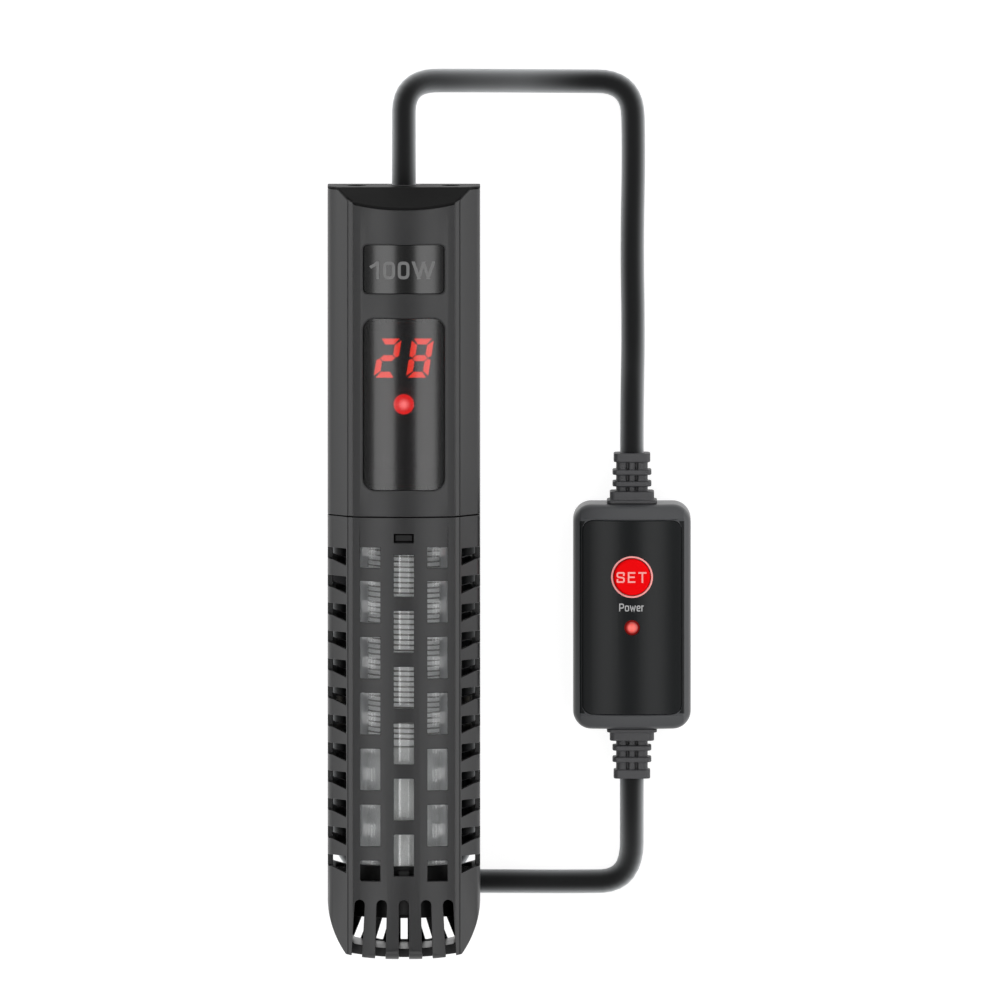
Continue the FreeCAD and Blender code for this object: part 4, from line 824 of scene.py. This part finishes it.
@dataclass
class ControlHead(Assembly):
    """Upper end of the heater: housing, cap, badge, window, digits and lamp."""

    top_y: float = 100.0
    front_z: float = 52.5
    crown_radius: float = 33.0
    opening_reach: float = 10.7
    opening_level: float = 50.9
    opening_span: Pair = (21.0, 86.0)
    opening_edge: float = 0.55
    badge_inset: float = 0.5
    rating_place: Pair = (-0.35, 78.85)
    rating_size: Pair = (16.8, 4.6)
    rating_stroke: float = 0.8
    digits_from_top: float = 44.02
    digits_level: float = 49.2
    digit_width: float = 5.6
    digit_height: float = 10.1
    digit_spacing: float = 8.3
    digit_slant: float = 0.158
    digit_chamfer: float = 0.35
    segment: float = 1.5
    segment_gap: float = 0.17
    segment_thickness: float = 0.12
    lamp_from_top: float = 56.05
    lamp_level: float = 48.0
    lamp_radius: float = 2.6
    lamp_wall: float = 0.5
    lamp_rise: float = 0.9
    # Housing faces below this level are given painted shade.
    painted_shade_below: float = 13.5

    def level(self, inset: float) -> Level:
        """Level of the crowned front, drawn in by an inset, across the part."""
        radius = self.crown_radius - inset
        return lambda x: self.front_z - self.crown_radius + math.sqrt(radius * radius - x * x)

    def on_opening(self, place: Vector) -> bool:
        """Tell whether a point of the housing is on the front edge of an opening."""
        inside = self.opening_span[0] < place.y < self.opening_span[1]
        return inside and abs(place.x) < self.opening_reach and place.z > self.opening_level

    def build(self) -> None:
        """Dress the nodes of the head and add its rating, digits and lamp."""
        rim = {"rim": self.on_opening, "rim_edge": self.opening_edge}
        shell = self.dress("housing", "housing_shell", SATIN_ABS, "body_plastic", edge=0.22, **rim)
        # Faces below this level, the latch tongue among them, get the darker copy: painted shade in the latch
        # window.
        shell.data.materials.append(LATCH_PAINTED_SHADE_ABS.material())
        for face in shell.data.polygons:
            face.material_index = int(face.center.y < self.painted_shade_below * MM)
        self.dress("top_cap", "sloped_cap", CAP_ABS, "cap_plastic", edge=0.25)
        rating = lettering("rating_figures", "100W", *self.rating_size, self.rating_stroke)
        laid_on(rating, *self.rating_place, self.level(self.badge_inset - PRINT_GAP))
        settle(rating, PRINT_GREY, "badge_gloss")
        self.digits()
        self.lamp()
        self.repaint(badge_plate=BADGE_ACRYLIC, display_window=SMOKED_ACRYLIC, digit_display=MOULD_EPOXY)
        self.repaint(cap_gasket=BUNG_SILICONE, cable_gland=BUNG_SILICONE, core_wires=WIRE_SLEEVE)
        self.repaint(main_board=BOARD_LAMINATE, relay=MOULD_EPOXY, dropper_capacitor=DIPPED_FILM)
        self.repaint(terminal_block=MOULD_EPOXY, cap_screws=SCREW_STEEL)

    def lamp(self) -> None:
        """Turn the lamp's domed lens."""
        radius = self.lamp_radius
        top = self.lamp_wall + self.lamp_rise
        y = self.top_y - self.lamp_from_top
        steps = [math.radians(15 * i) for i in range(6)]
        dome = [(radius * math.cos(a), self.lamp_wall + self.lamp_rise * math.sin(a)) for a in steps]
        profile = [(0.0, 0.0), (radius, 0.0), *dome, (0.0, top)]
        lens = lathe("lamp_lens", profile, (0.0, y, self.lamp_level), 64)
        glow = Lit("head_lamp_red", "#d00c0a", 34.0, "#ff7672", (0.0, y, self.lamp_level + top), 2.0)
        settle(lens, glow, "lamp_red", "indicator_led")

    def digits(self) -> None:
        """Build the lit segments of a plain two and eight."""
        w, h, t, g = self.digit_width, self.digit_height, self.segment, self.segment_gap
        m = h / 2
        c = g + self.digit_chamfer
        upper = [(0, h - c), (t, h - t - g), (t, m + t / 2 + g), (t / 2, m + g), (0, m + t / 4 + g)]
        lower = [(x, h - y) for x, y in upper]
        half_middle = [(t / 2 + g, m), (t + g, m + t / 2), (w - t - g, m + t / 2)]
        shapes = {
            "top": [(c, h), (w - c, h), (w - t - g, h - t), (t + g, h - t)],
            "bottom": [(c, 0), (t + g, t), (w - t - g, t), (w - c, 0)],
            "middle": half_middle + [(w - x, h - y) for x, y in half_middle],
            "upper_left": upper,
            "upper_right": [(w - x, y) for x, y in upper],
            "lower_left": lower,
            "lower_right": [(w - x, y) for x, y in lower],
        }
        two = ("top", "upper_right", "middle", "lower_left", "bottom")
        y0 = self.top_y - self.digits_from_top - m
        outlines = []
        for column, names in ((-0.5, two), (0.5, tuple(shapes))):
            x0 = column * self.digit_spacing - w / 2
            for part in names:
                outlines.append([(x0 + x + self.digit_slant * (y - m), y0 + y) for x, y in shapes[part]])
        base = self.digits_level
        digits = extruded("lit_segments", outlines, base + 0.01, base + self.segment_thickness)
        settle(digits, Lit("segment_red", "#ff3520", 24.0), "display_black")


@dataclass
class HeatingTube(Assembly):
    """Glass tube with its winding, fill, seal, boot and probe."""

    mid_z: float = 34.0
    top_y: float = 12.0
    length: float = 57.0
    core_radius: float = 9.2
    wire: float = 0.44
    play: float = 0.1
    turns: float = 40.0
    end_margin: float = 1.5

    def build(self) -> None:
        """Dress the tube's nodes and wind the wire."""
        self.repaint(quartz_tube=QUARTZ, heating_core=STEATITE, sand_fill=QUARTZ_SAND, coil_leads=WIRE_SLEEVE)
        self.repaint(thermal_fuse=PROBE_STEEL, temperature_probe=PROBE_STEEL, tube_seal=BUNG_SILICONE)
        self.dress("tube_boot", "rubber_boot", BOOT_RUBBER, "black_rubber", edge=0.3)
        self.winding()

    def winding(self) -> None:
        """Wind the resistance wire on the core as one spiral tube."""
        sizes = {
            "Radius": (self.core_radius + self.play + self.wire / 2) * MM,
            "Height": (self.length - 2 * self.end_margin) * MM,
            "Turns": self.turns,
            "Wire Radius": self.wire / 2 * MM,
        }
        grower = Grower("resistance_winding", sizes)
        tree, size = grower.tree, grower.size
        ends = {"Start Radius": size("Radius"), "End Radius": size("Radius")}
        spiral = {"Resolution": 28, "Rotations": size("Turns"), "Height": size("Height"), **ends}
        section = {"Resolution": 7, "Radius": size("Wire Radius")}
        wire = {
            "Fill Caps": True,
            "Curve": outlet(tree, "GeometryNodeCurveSpiral", spiral),
            "Profile Curve": outlet(tree, "GeometryNodeCurvePrimitiveCircle", section),
        }
        placed = {
            "Translation": (0.0, (self.top_y - self.end_margin) * MM, self.mid_z * MM),
            "Rotation": (math.pi / 2, 0.0, 0.0),
            "Geometry": outlet(tree, "GeometryNodeCurveToMesh", wire),
        }
        smooth = {"Geometry": outlet(tree, "GeometryNodeTransform", placed)}
        coil = grower.grow(outlet(tree, "GeometryNodeSetShadeSmooth", smooth), RESISTANCE_WIRE)
        settle(coil, RESISTANCE_WIRE, "winding_alloy", "heating_coil")


@dataclass
class Guard(Assembly):
    """Slotted cage and the two suction cups under it."""

    cup_places: tuple[tuple[str, float], ...] = (("upper_suction_cup", 62.0), ("lower_suction_cup", -67.1))
    rim: float = 12.0
    rim_width: float = 1.2
    hollow: float = 2.6
    neck: float = 3.6
    neck_level: float = 7.4
    pocket_z: float = 12.0
    collar: float = 5.5
    collar_height: float = 2.2
    stem: float = 2.6
    head: float = 4.4
    lip: float = 1.2
    head_height: float = 1.7

    def build(self) -> None:
        """Dress the cage and turn the cups."""
        self.dress("guard_cage", "slotted_guard", SATIN_ABS, "body_plastic", edge=0.16)
        for node, y in self.cup_places:
            self.cup(node, y)

    def cup(self, node: str, y: float) -> None:
        """Turn one suction cup with a thin flared rim and a ringed neck.

        Args:
            node: The node that it stands for.
            y: Where it sits along the heater.
        """
        rim, pocket = self.rim, self.pocket_z
        lip_top = pocket + self.lip
        collar_low = pocket - self.collar_height
        head_top = lip_top + self.head_height
        shares = ((0.0, 1.0), (0.3, 0.93), (0.62, 0.52), (0.82, 0.2))
        under = [(r * rim, h * self.hollow) for r, h in shares] + [(rim - self.rim_width, 0.0)]
        over = [(rim, 0.0), (rim, 0.5), (0.86 * rim, 1.25), (0.62 * rim, 3.3), (0.46 * rim, 5.4)]
        over += [(self.neck + 0.25, self.neck_level), (self.neck, collar_low), (self.collar, collar_low)]
        over += [(self.collar, pocket), (self.stem, pocket), (self.stem, lip_top), (self.head, lip_top)]
        over += [(self.head, head_top), (0.0, head_top)]
        profile = rounded_profile(under, 3.0)[:-1] + rounded_profile([under[-1]] + over, 0.5)
        cup = lathe(node.replace("suction", "rubber"), profile, (0.0, y, 0.0), 72)
        settle(cup, CUP_RUBBER, "cup_rubber", node)


# The controller and the leads


@dataclass
class HandController(Assembly):
    """Box on the lead with its push button and lamp."""

    x: float = 59.1
    y: float = -13.5
    half_width: float = 15.25
    half_length: float = 29.2
    corner: float = 4.7
    rim_above: float = 12.0
    rim_edge: float = 1.3
    rim_slack: float = 0.06
    gloss_reach: float = 25.0
    gloss_inner: float = 12.6
    gloss_outer: float = 13.9
    height: float = 20.0
    crown_radius: float = 38.88
    button_y: float = -2.9
    button_top: float = 20.9
    ring_inner: float = 4.96
    ring_outer: float = 5.42
    lamp_y: float = -16.1
    lamp_top: float = 20.3
    word_place: Pair = (58.95, -2.93)
    word_size: Pair = (7.8, 2.8)
    word_stroke: float = 0.42
    caption_place: Pair = (58.95, -10.8)
    caption_size: Pair = (6.37, 2.05)
    caption_stroke: float = 0.27

    def level(self, x: float) -> float:
        """Level of the crowned face at a distance from its middle."""
        radius = self.crown_radius
        return self.height - radius + math.sqrt(radius * radius - x * x)

    def on_rim(self, place: Vector) -> bool:
        """Find the upper edge of the shell's side walls.

        Args:
            place: A point of the shell.

        Returns:
            Whether the point is on that edge.
        """
        across = max(0.0, abs(place.x - self.x) - self.half_width + self.corner)
        along = max(0.0, abs(place.y - self.y) - self.half_length + self.corner)
        return place.z > self.rim_above and math.hypot(across, along) > self.corner - self.rim_slack

    def build(self) -> None:
        """Dress the controller and add its ring, letters and lamp."""
        plastic = (CONTROLLER_ABS, "controller_plastic")
        rim = {"rim": self.on_rim, "rim_edge": self.rim_edge}
        shell = self.dress("controller_top", "controller_upper_shell", *plastic, edge=0.2, **rim)
        self.gloss_flanks(shell)
        self.dress("controller_base", "controller_lower_shell", *plastic, edge=0.3)
        self.dress("controller_face", "controller_face_plate", FACE_ACRYLIC, "controller_gloss", edge=0.1)
        self.dress("set_button", "red_push_button", BUTTON_RED, "button_red", edge=0.25, body=BUTTON)
        word = lettering("button_word", "SET", *self.word_size, self.word_stroke)
        laid_on(word, *self.word_place, lambda x: self.button_top + PRINT_GAP)
        settle(word, INK_ON_RED, "button_red", body=BUTTON)
        caption = lettering("lamp_word", "Power", *self.caption_size, self.caption_stroke)
        laid_on(caption, *self.caption_place, lambda x: self.level(x) + PRINT_GAP)
        settle(caption, PRINT_PALE, "controller_gloss")
        self.ring()
        middle = (self.x, self.lamp_y, self.lamp_top)
        self.repaint(power_led=Lit("controller_lamp_red", "#5a0a09", 1.4, "#ff6258", middle, 1.9))
        self.repaint(controller_screws=SCREW_STEEL, controller_board=BOARD_LAMINATE)
        self.repaint(switch_plunger=MOULD_EPOXY, tact_switch=MOULD_EPOXY)
        for node in ("heater_side_relief", "plug_side_relief"):
            self.dress(node, node + "_boot", RELIEF_PVC, "cord_rubber", edge=0.28)

    def gloss_flanks(self, shell: Piece) -> None:
        """Carry the face's gloss over both long edges of the shell, as its mould is polished.

        Args:
            shell: The upper shell.
        """
        shell.data.materials.append(FACE_ACRYLIC.material())
        with edited(shell.data) as bm:
            for end in (-1, 1):
                cut(bm, Vector((0.0, self.y + end * self.gloss_reach, 0.0)) * MM, (0, 1, 0))
            for face in bm.faces:
                centre = face.calc_center_median() / MM
                beside = self.gloss_inner < abs(centre.x - self.x) < self.gloss_outer
                within = centre.z > self.rim_above and abs(centre.y - self.y) < self.gloss_reach
                face.material_index = int(beside and within)

    def ring(self) -> None:
        """Print the white ring round the button on the crowned face."""
        inner, outer, top = self.ring_inner, self.ring_outer, PRINT_THICKNESS
        profile = [(inner, 0.0), (outer, 0.0), (outer, top), (inner, top), (inner, 0.0)]
        ring = lathe("button_ring", profile, (0.0, 0.0, 0.0), 96)
        with edited(ring.data) as bm:
            bmesh.ops.remove_doubles(bm, verts=bm.verts, dist=1e-8)
        laid_on(ring, self.x, self.button_y, lambda x: self.level(x) + PRINT_GAP / 2, 50.0)
        settle(ring, INK_ON_RED, "controller_gloss")


@dataclass
class Leads(Assembly):
    """The lead to the controller, the lead to the plug and the tie on its put-away part."""

    diameter: float = 6.2
    turn: float = 16.1
    low_y: float = -67.1
    high_y: float = 62.0
    lower: float = 3.8
    upper: float = 10.62
    first: Piece | None = None
    second: Piece | None = None

    def first_route(self) -> list[Point]:
        """Lead from the cap to the controller.

        Returns:
            Points that pull its centreline.
        """
        rise = [(0.0, 98.6, 34.0), (0.0, 110.5, 34.0), (0.0, 126.9, 33.6)]
        over = [(17.0, 126.3, 23.5), (41.5, 124.9, 3.1), (59.1, 124.8, 3.1)]
        down = [(59.6, 107.0, 3.1), (59.1, 82.0, 3.1), (59.5, 60.0, 3.1)]
        return rise + over + down + [(59.1, 40.4, 10.0), (59.1, 28.8, 10.0)]

    def turned(self, centre: float, angles: Sequence[float], level: float) -> list[Point]:
        """Points outside a turn round a cup, whose smooth curve lies on the turn."""
        reach, turns = self.turn / math.cos(math.radians(15)), map(math.radians, angles)
        return [(reach * math.cos(a), centre + reach * math.sin(a), level) for a in turns]

    def second_route(self) -> list[Point]:
        """Lead from the controller twice round the cups and to the plug.

        Returns:
            Points that pull its centreline.
        """
        r = self.turn
        lead_in = r * math.tan(math.radians(15))
        y0 = self.low_y + lead_in
        y1 = self.high_y - lead_in
        low = range(-15, -180, -30)
        high = range(165, 0, -30)
        z1 = self.lower
        z2 = self.upper
        back = (y0, -30.0, 20.0, y1)
        points = [(59.1, -54.8, 10.0), (59.1, -62.5, 10.0), (59.1, -83.2, 3.1), (42.5, -83.4, 3.1)]
        points += [(22.0, -83.2, z1), (6.2, -83.2, z1)]
        points += self.turned(self.low_y, low[3:], z1)
        points += [(-r, y, z1) for y in back]
        points += self.turned(self.high_y, high, z1)
        climb = ((y1, z1), (24.0, z1), (4.0, 4.9), (-36.0, 9.5), (-56.0, z2), (y0, z2))
        points += [(r, y, z) for y, z in climb]
        points += self.turned(self.low_y, low, z2)
        points += [(-r, y, z2) for y in back]
        points += self.turned(self.high_y, high, z2)
        points += [(r, 54.0, z2), (13.4, 45.0, 9.9), (3.0, 36.0, 7.5)]
        return points + [(0.0, y, 6.7) for y in (27.0, 20.0, 14.6)]

    def draw(self, name: str, route: list[Point], *nodes: str) -> Piece:
        """Draw one cord as a curve on its centreline and dress it.

        Args:
            name: The cord's name.
            route: Points that pull the centreline.
            nodes: Nodes that it stands for.

        Returns:
            The cord's curve.
        """
        curve = bpy.data.curves.new(name, "CURVE")
        curve.dimensions = "3D"
        curve.bevel_depth = self.diameter / 2 * MM
        curve.bevel_resolution = 6
        curve.use_fill_caps = True
        curve.resolution_u = 8
        spline = curve.splines.new("NURBS")
        spline.points.add(len(route) - 1)
        for point, place in zip(spline.points, route):
            point.co = (*(v * MM for v in place), 1.0)
        spline.order_u = 3
        spline.use_endpoint_u = True
        spline.use_smooth = True
        return settle(scene_object(name, curve), SHEATH, "cord_rubber", *nodes)

    def build(self) -> None:
        """Draw both leads and dress the tie."""
        self.first = self.draw("first_lead", self.first_route(), "heater_lead")
        self.second = self.draw("second_lead", self.second_route(), "supply_lead", "supply_lead_hank")
        self.dress("cord_tie", "hook_strap", STRAP, "tie_fabric", edge=0.12)

    def declare(self) -> None:
        """Do nothing: the leads stay plain curves, not declared as cords."""


@dataclass
class MainsPlug(Assembly):
    """Two-pin plug under the guard, with grip ribs on its sides."""

    waist_y: float = -12.0
    waist_half_width: float = 7.5
    level: float = 6.7
    rib_height: float = 8.0
    rib_width: float = 0.9
    rib_reach: float = 1.0
    rib_pitch: float = 2.2
    ribs: int = 5

    def build(self) -> None:
        """Dress the plug and its pins and grow the ribs."""
        self.dress("plug_body", "plug_grip", BOOT_RUBBER, "cord_rubber", edge=0.4)
        self.dress("plug_pins", "plug_blades", PIN_BRASS, "pin_brass", edge=0.2)
        sizes = {
            "Pitch": self.rib_pitch * MM,
            "Rib Width": self.rib_width * MM,
            "Rib Height": self.rib_height * MM,
            "Rib Reach": self.rib_reach * MM,
            "Spread": 2 * self.waist_half_width * MM,
        }
        grower = Grower("plug_ribs", sizes)
        tree, size = grower.tree, grower.size
        shape = {i: size(label) for i, label in enumerate(("Rib Reach", "Rib Width", "Rib Height"))}
        rib = outlet(tree, "GeometryNodeMeshCube", {"Size": outlet(tree, "ShaderNodeCombineXYZ", shape)})
        step = outlet(tree, "ShaderNodeCombineXYZ", {1: size("Pitch")})
        line = {"Count": self.ribs, "Start Location": (0.0, 0.0, 0.0), "Offset": step}
        row = {"Points": outlet(tree, "GeometryNodeMeshLine", line), "Instance": rib}
        ribs = outlet(tree, "GeometryNodeInstanceOnPoints", row)
        first_y = self.waist_y - self.rib_pitch * (self.ribs - 1) / 2
        joined = add_node(tree, "GeometryNodeJoinGeometry")
        for side in (-0.5, 0.5):
            spot = {0: maths(tree, "MULTIPLY", size("Spread"), side), 1: first_y * MM, 2: self.level * MM}
            moved = {"Geometry": ribs, "Translation": outlet(tree, "ShaderNodeCombineXYZ", spot)}
            tree.links.new(outlet(tree, "GeometryNodeTransform", moved), joined.inputs[0])
        settle(grower.grow(joined.outputs[0], BOOT_RUBBER), BOOT_RUBBER, "cord_rubber")


# The studio


@dataclass
class Studio:
    """White floor, long softboxes round the camera, a graded world and the camera above."""

    target: Point = (24.87, 17.56, 26.0)
    distance: float = 12.0
    tilt: float = 4.0
    lens: float = 1667.3
    floor_half: float = 20.0
    floor_drop: float = 0.0001
    floor_tone: float = 0.24
    floor_fill: float = 0.88
    box_reach: float = 1.1
    box_length: float = 1.8
    side_boxes: tuple[Point, ...] = ((19.0, 0.37, 4.7), (46.0, 0.2, 1.2), (76.0, 0.32, 4.5))
    end_boxes: tuple[Point, ...] = ((68.0, 0.36, 3.6),)
    horizon: float = 0.55
    zenith: float = 0.17

    def build(self) -> None:
        """Make the camera, the lamps, the floor and the world."""
        self.camera()
        for heading, boxes in ((0.0, self.side_boxes), (90.0, self.end_boxes)):
            for angle, width, power in boxes:
                self.softbox(heading, angle, width, power)
                self.softbox(heading + 180.0, angle, width, power)
        self.floor()
        self.world()

    def camera(self) -> None:
        """Look straight down, leant a little towards the cap."""
        data = bpy.data.cameras.new("camera")
        data.lens = self.lens
        data.sensor_width = 36.0
        data.clip_end = 60.0
        camera = scene_object("camera", data)
        lean = math.radians(self.tilt)
        back = Vector((0.0, math.sin(lean), math.cos(lean)))
        camera.location = Vector(self.target) * MM + back * self.distance
        camera.rotation_euler = (-lean, 0.0, 0.0)
        bpy.context.scene.camera = camera

    def softbox(self, heading: float, angle: float, width: float, power: float) -> None:
        """Hang one long softbox beside the camera.

        Args:
            heading: Side of the object that it hangs on, in degrees from X.
            angle: How far it leans from the vertical, in degrees.
            width: Its width in metres.
            power: Its power in watts.
        """
        data = bpy.data.lights.new("softbox", "AREA")
        data.shape = "RECTANGLE"
        data.size = width
        data.size_y = self.box_length
        data.energy = power
        lamp = scene_object("softbox", data)
        turn = Matrix.Rotation(math.radians(heading), 4, "Z") @ Matrix.Rotation(math.radians(angle), 4, "Y")
        away = Matrix.Translation((0.0, 0.0, self.box_reach))
        lamp.matrix_world = Matrix.Translation(Vector(self.target) * MM) @ turn @ away
        lamp.visible_camera = False

    def floor(self) -> None:
        """Lay a white floor that keeps the object's shadow."""
        half = self.floor_half
        bm = bmesh.new()
        spots = ((-half, -half), (half, -half), (half, half), (-half, half))
        bm.faces.new([bm.verts.new((x, y, -self.floor_drop)) for x, y in spots])
        floor = mesh_object("floor", bm, outward=False)
        floor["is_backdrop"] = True
        floor.data.materials.append(made_once("white_sweep", self.sweep))

    def sweep(self, tree: Tree) -> Socket:
        """Add the floor's shader: mid grey to the light, and filled up to white where it is seen.

        Args:
            tree: The material's node tree.

        Returns:
            The shader.
        """
        seen = for_rays(tree, "Is Camera Ray", "Is Glossy Ray", "Is Transmission Ray")
        fill = maths(tree, "MULTIPLY", seen, self.floor_fill)
        looks = {"Base Color": (*[self.floor_tone] * 3, 1.0), "Roughness": 1.0, "Specular IOR Level": 0.0}
        looks |= {"Emission Color": (1.0, 1.0, 1.0, 1.0), "Emission Strength": fill}
        return outlet(tree, "ShaderNodeBsdfPrincipled", looks)

    def world(self) -> None:
        """Fill the room: brighter at the horizon, darker overhead, white to the camera."""
        world = bpy.data.worlds.new("room")
        bpy.context.scene.world = world
        world.use_nodes = True
        tree = world.node_tree
        tree.nodes.clear()
        place = outlet(tree, "ShaderNodeTexCoord", {}, "Generated")
        height = outlet(tree, "ShaderNodeSeparateXYZ", {0: place}, "Z")
        room = {"From Min": 0.0, "From Max": 0.85, "To Min": self.horizon, "To Max": self.zenith}
        graded = outlet(tree, "ShaderNodeMapRange", {**room, "Value": height})
        seen = for_rays(tree, "Is Camera Ray", "Is Transmission Ray")
        strength = outlet(tree, "ShaderNodeMix", {0: seen, 2: graded, 3: 1.0})
        back = outlet(tree, "ShaderNodeBackground", {"Color": (1.0, 1.0, 1.0, 1.0), "Strength": strength})
        add_node(tree, "ShaderNodeOutputWorld", {"Surface": back})


def corners() -> list[list[float]]:
    """Lowest and highest corner of what is shown, as plain lists."""
    return [list(corner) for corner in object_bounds()]


def main() -> None:
    """Load the frame, build the sub-assemblies in order and report each piece."""
    logging.basicConfig(level=logging.INFO, format="%(message)s")
    for obj in list(bpy.data.objects):
        bpy.data.objects.remove(obj)
    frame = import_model()
    bpy.context.scene.view_settings.view_transform = "Standard"
    Studio().build()
    leads = Leads(frame)
    leads.build()
    for assembly in (ControlHead, HeatingTube, Guard, HandController, MainsPlug):
        assembly(frame).build()
    leads.declare()


if __name__ == "__main__":
    main()
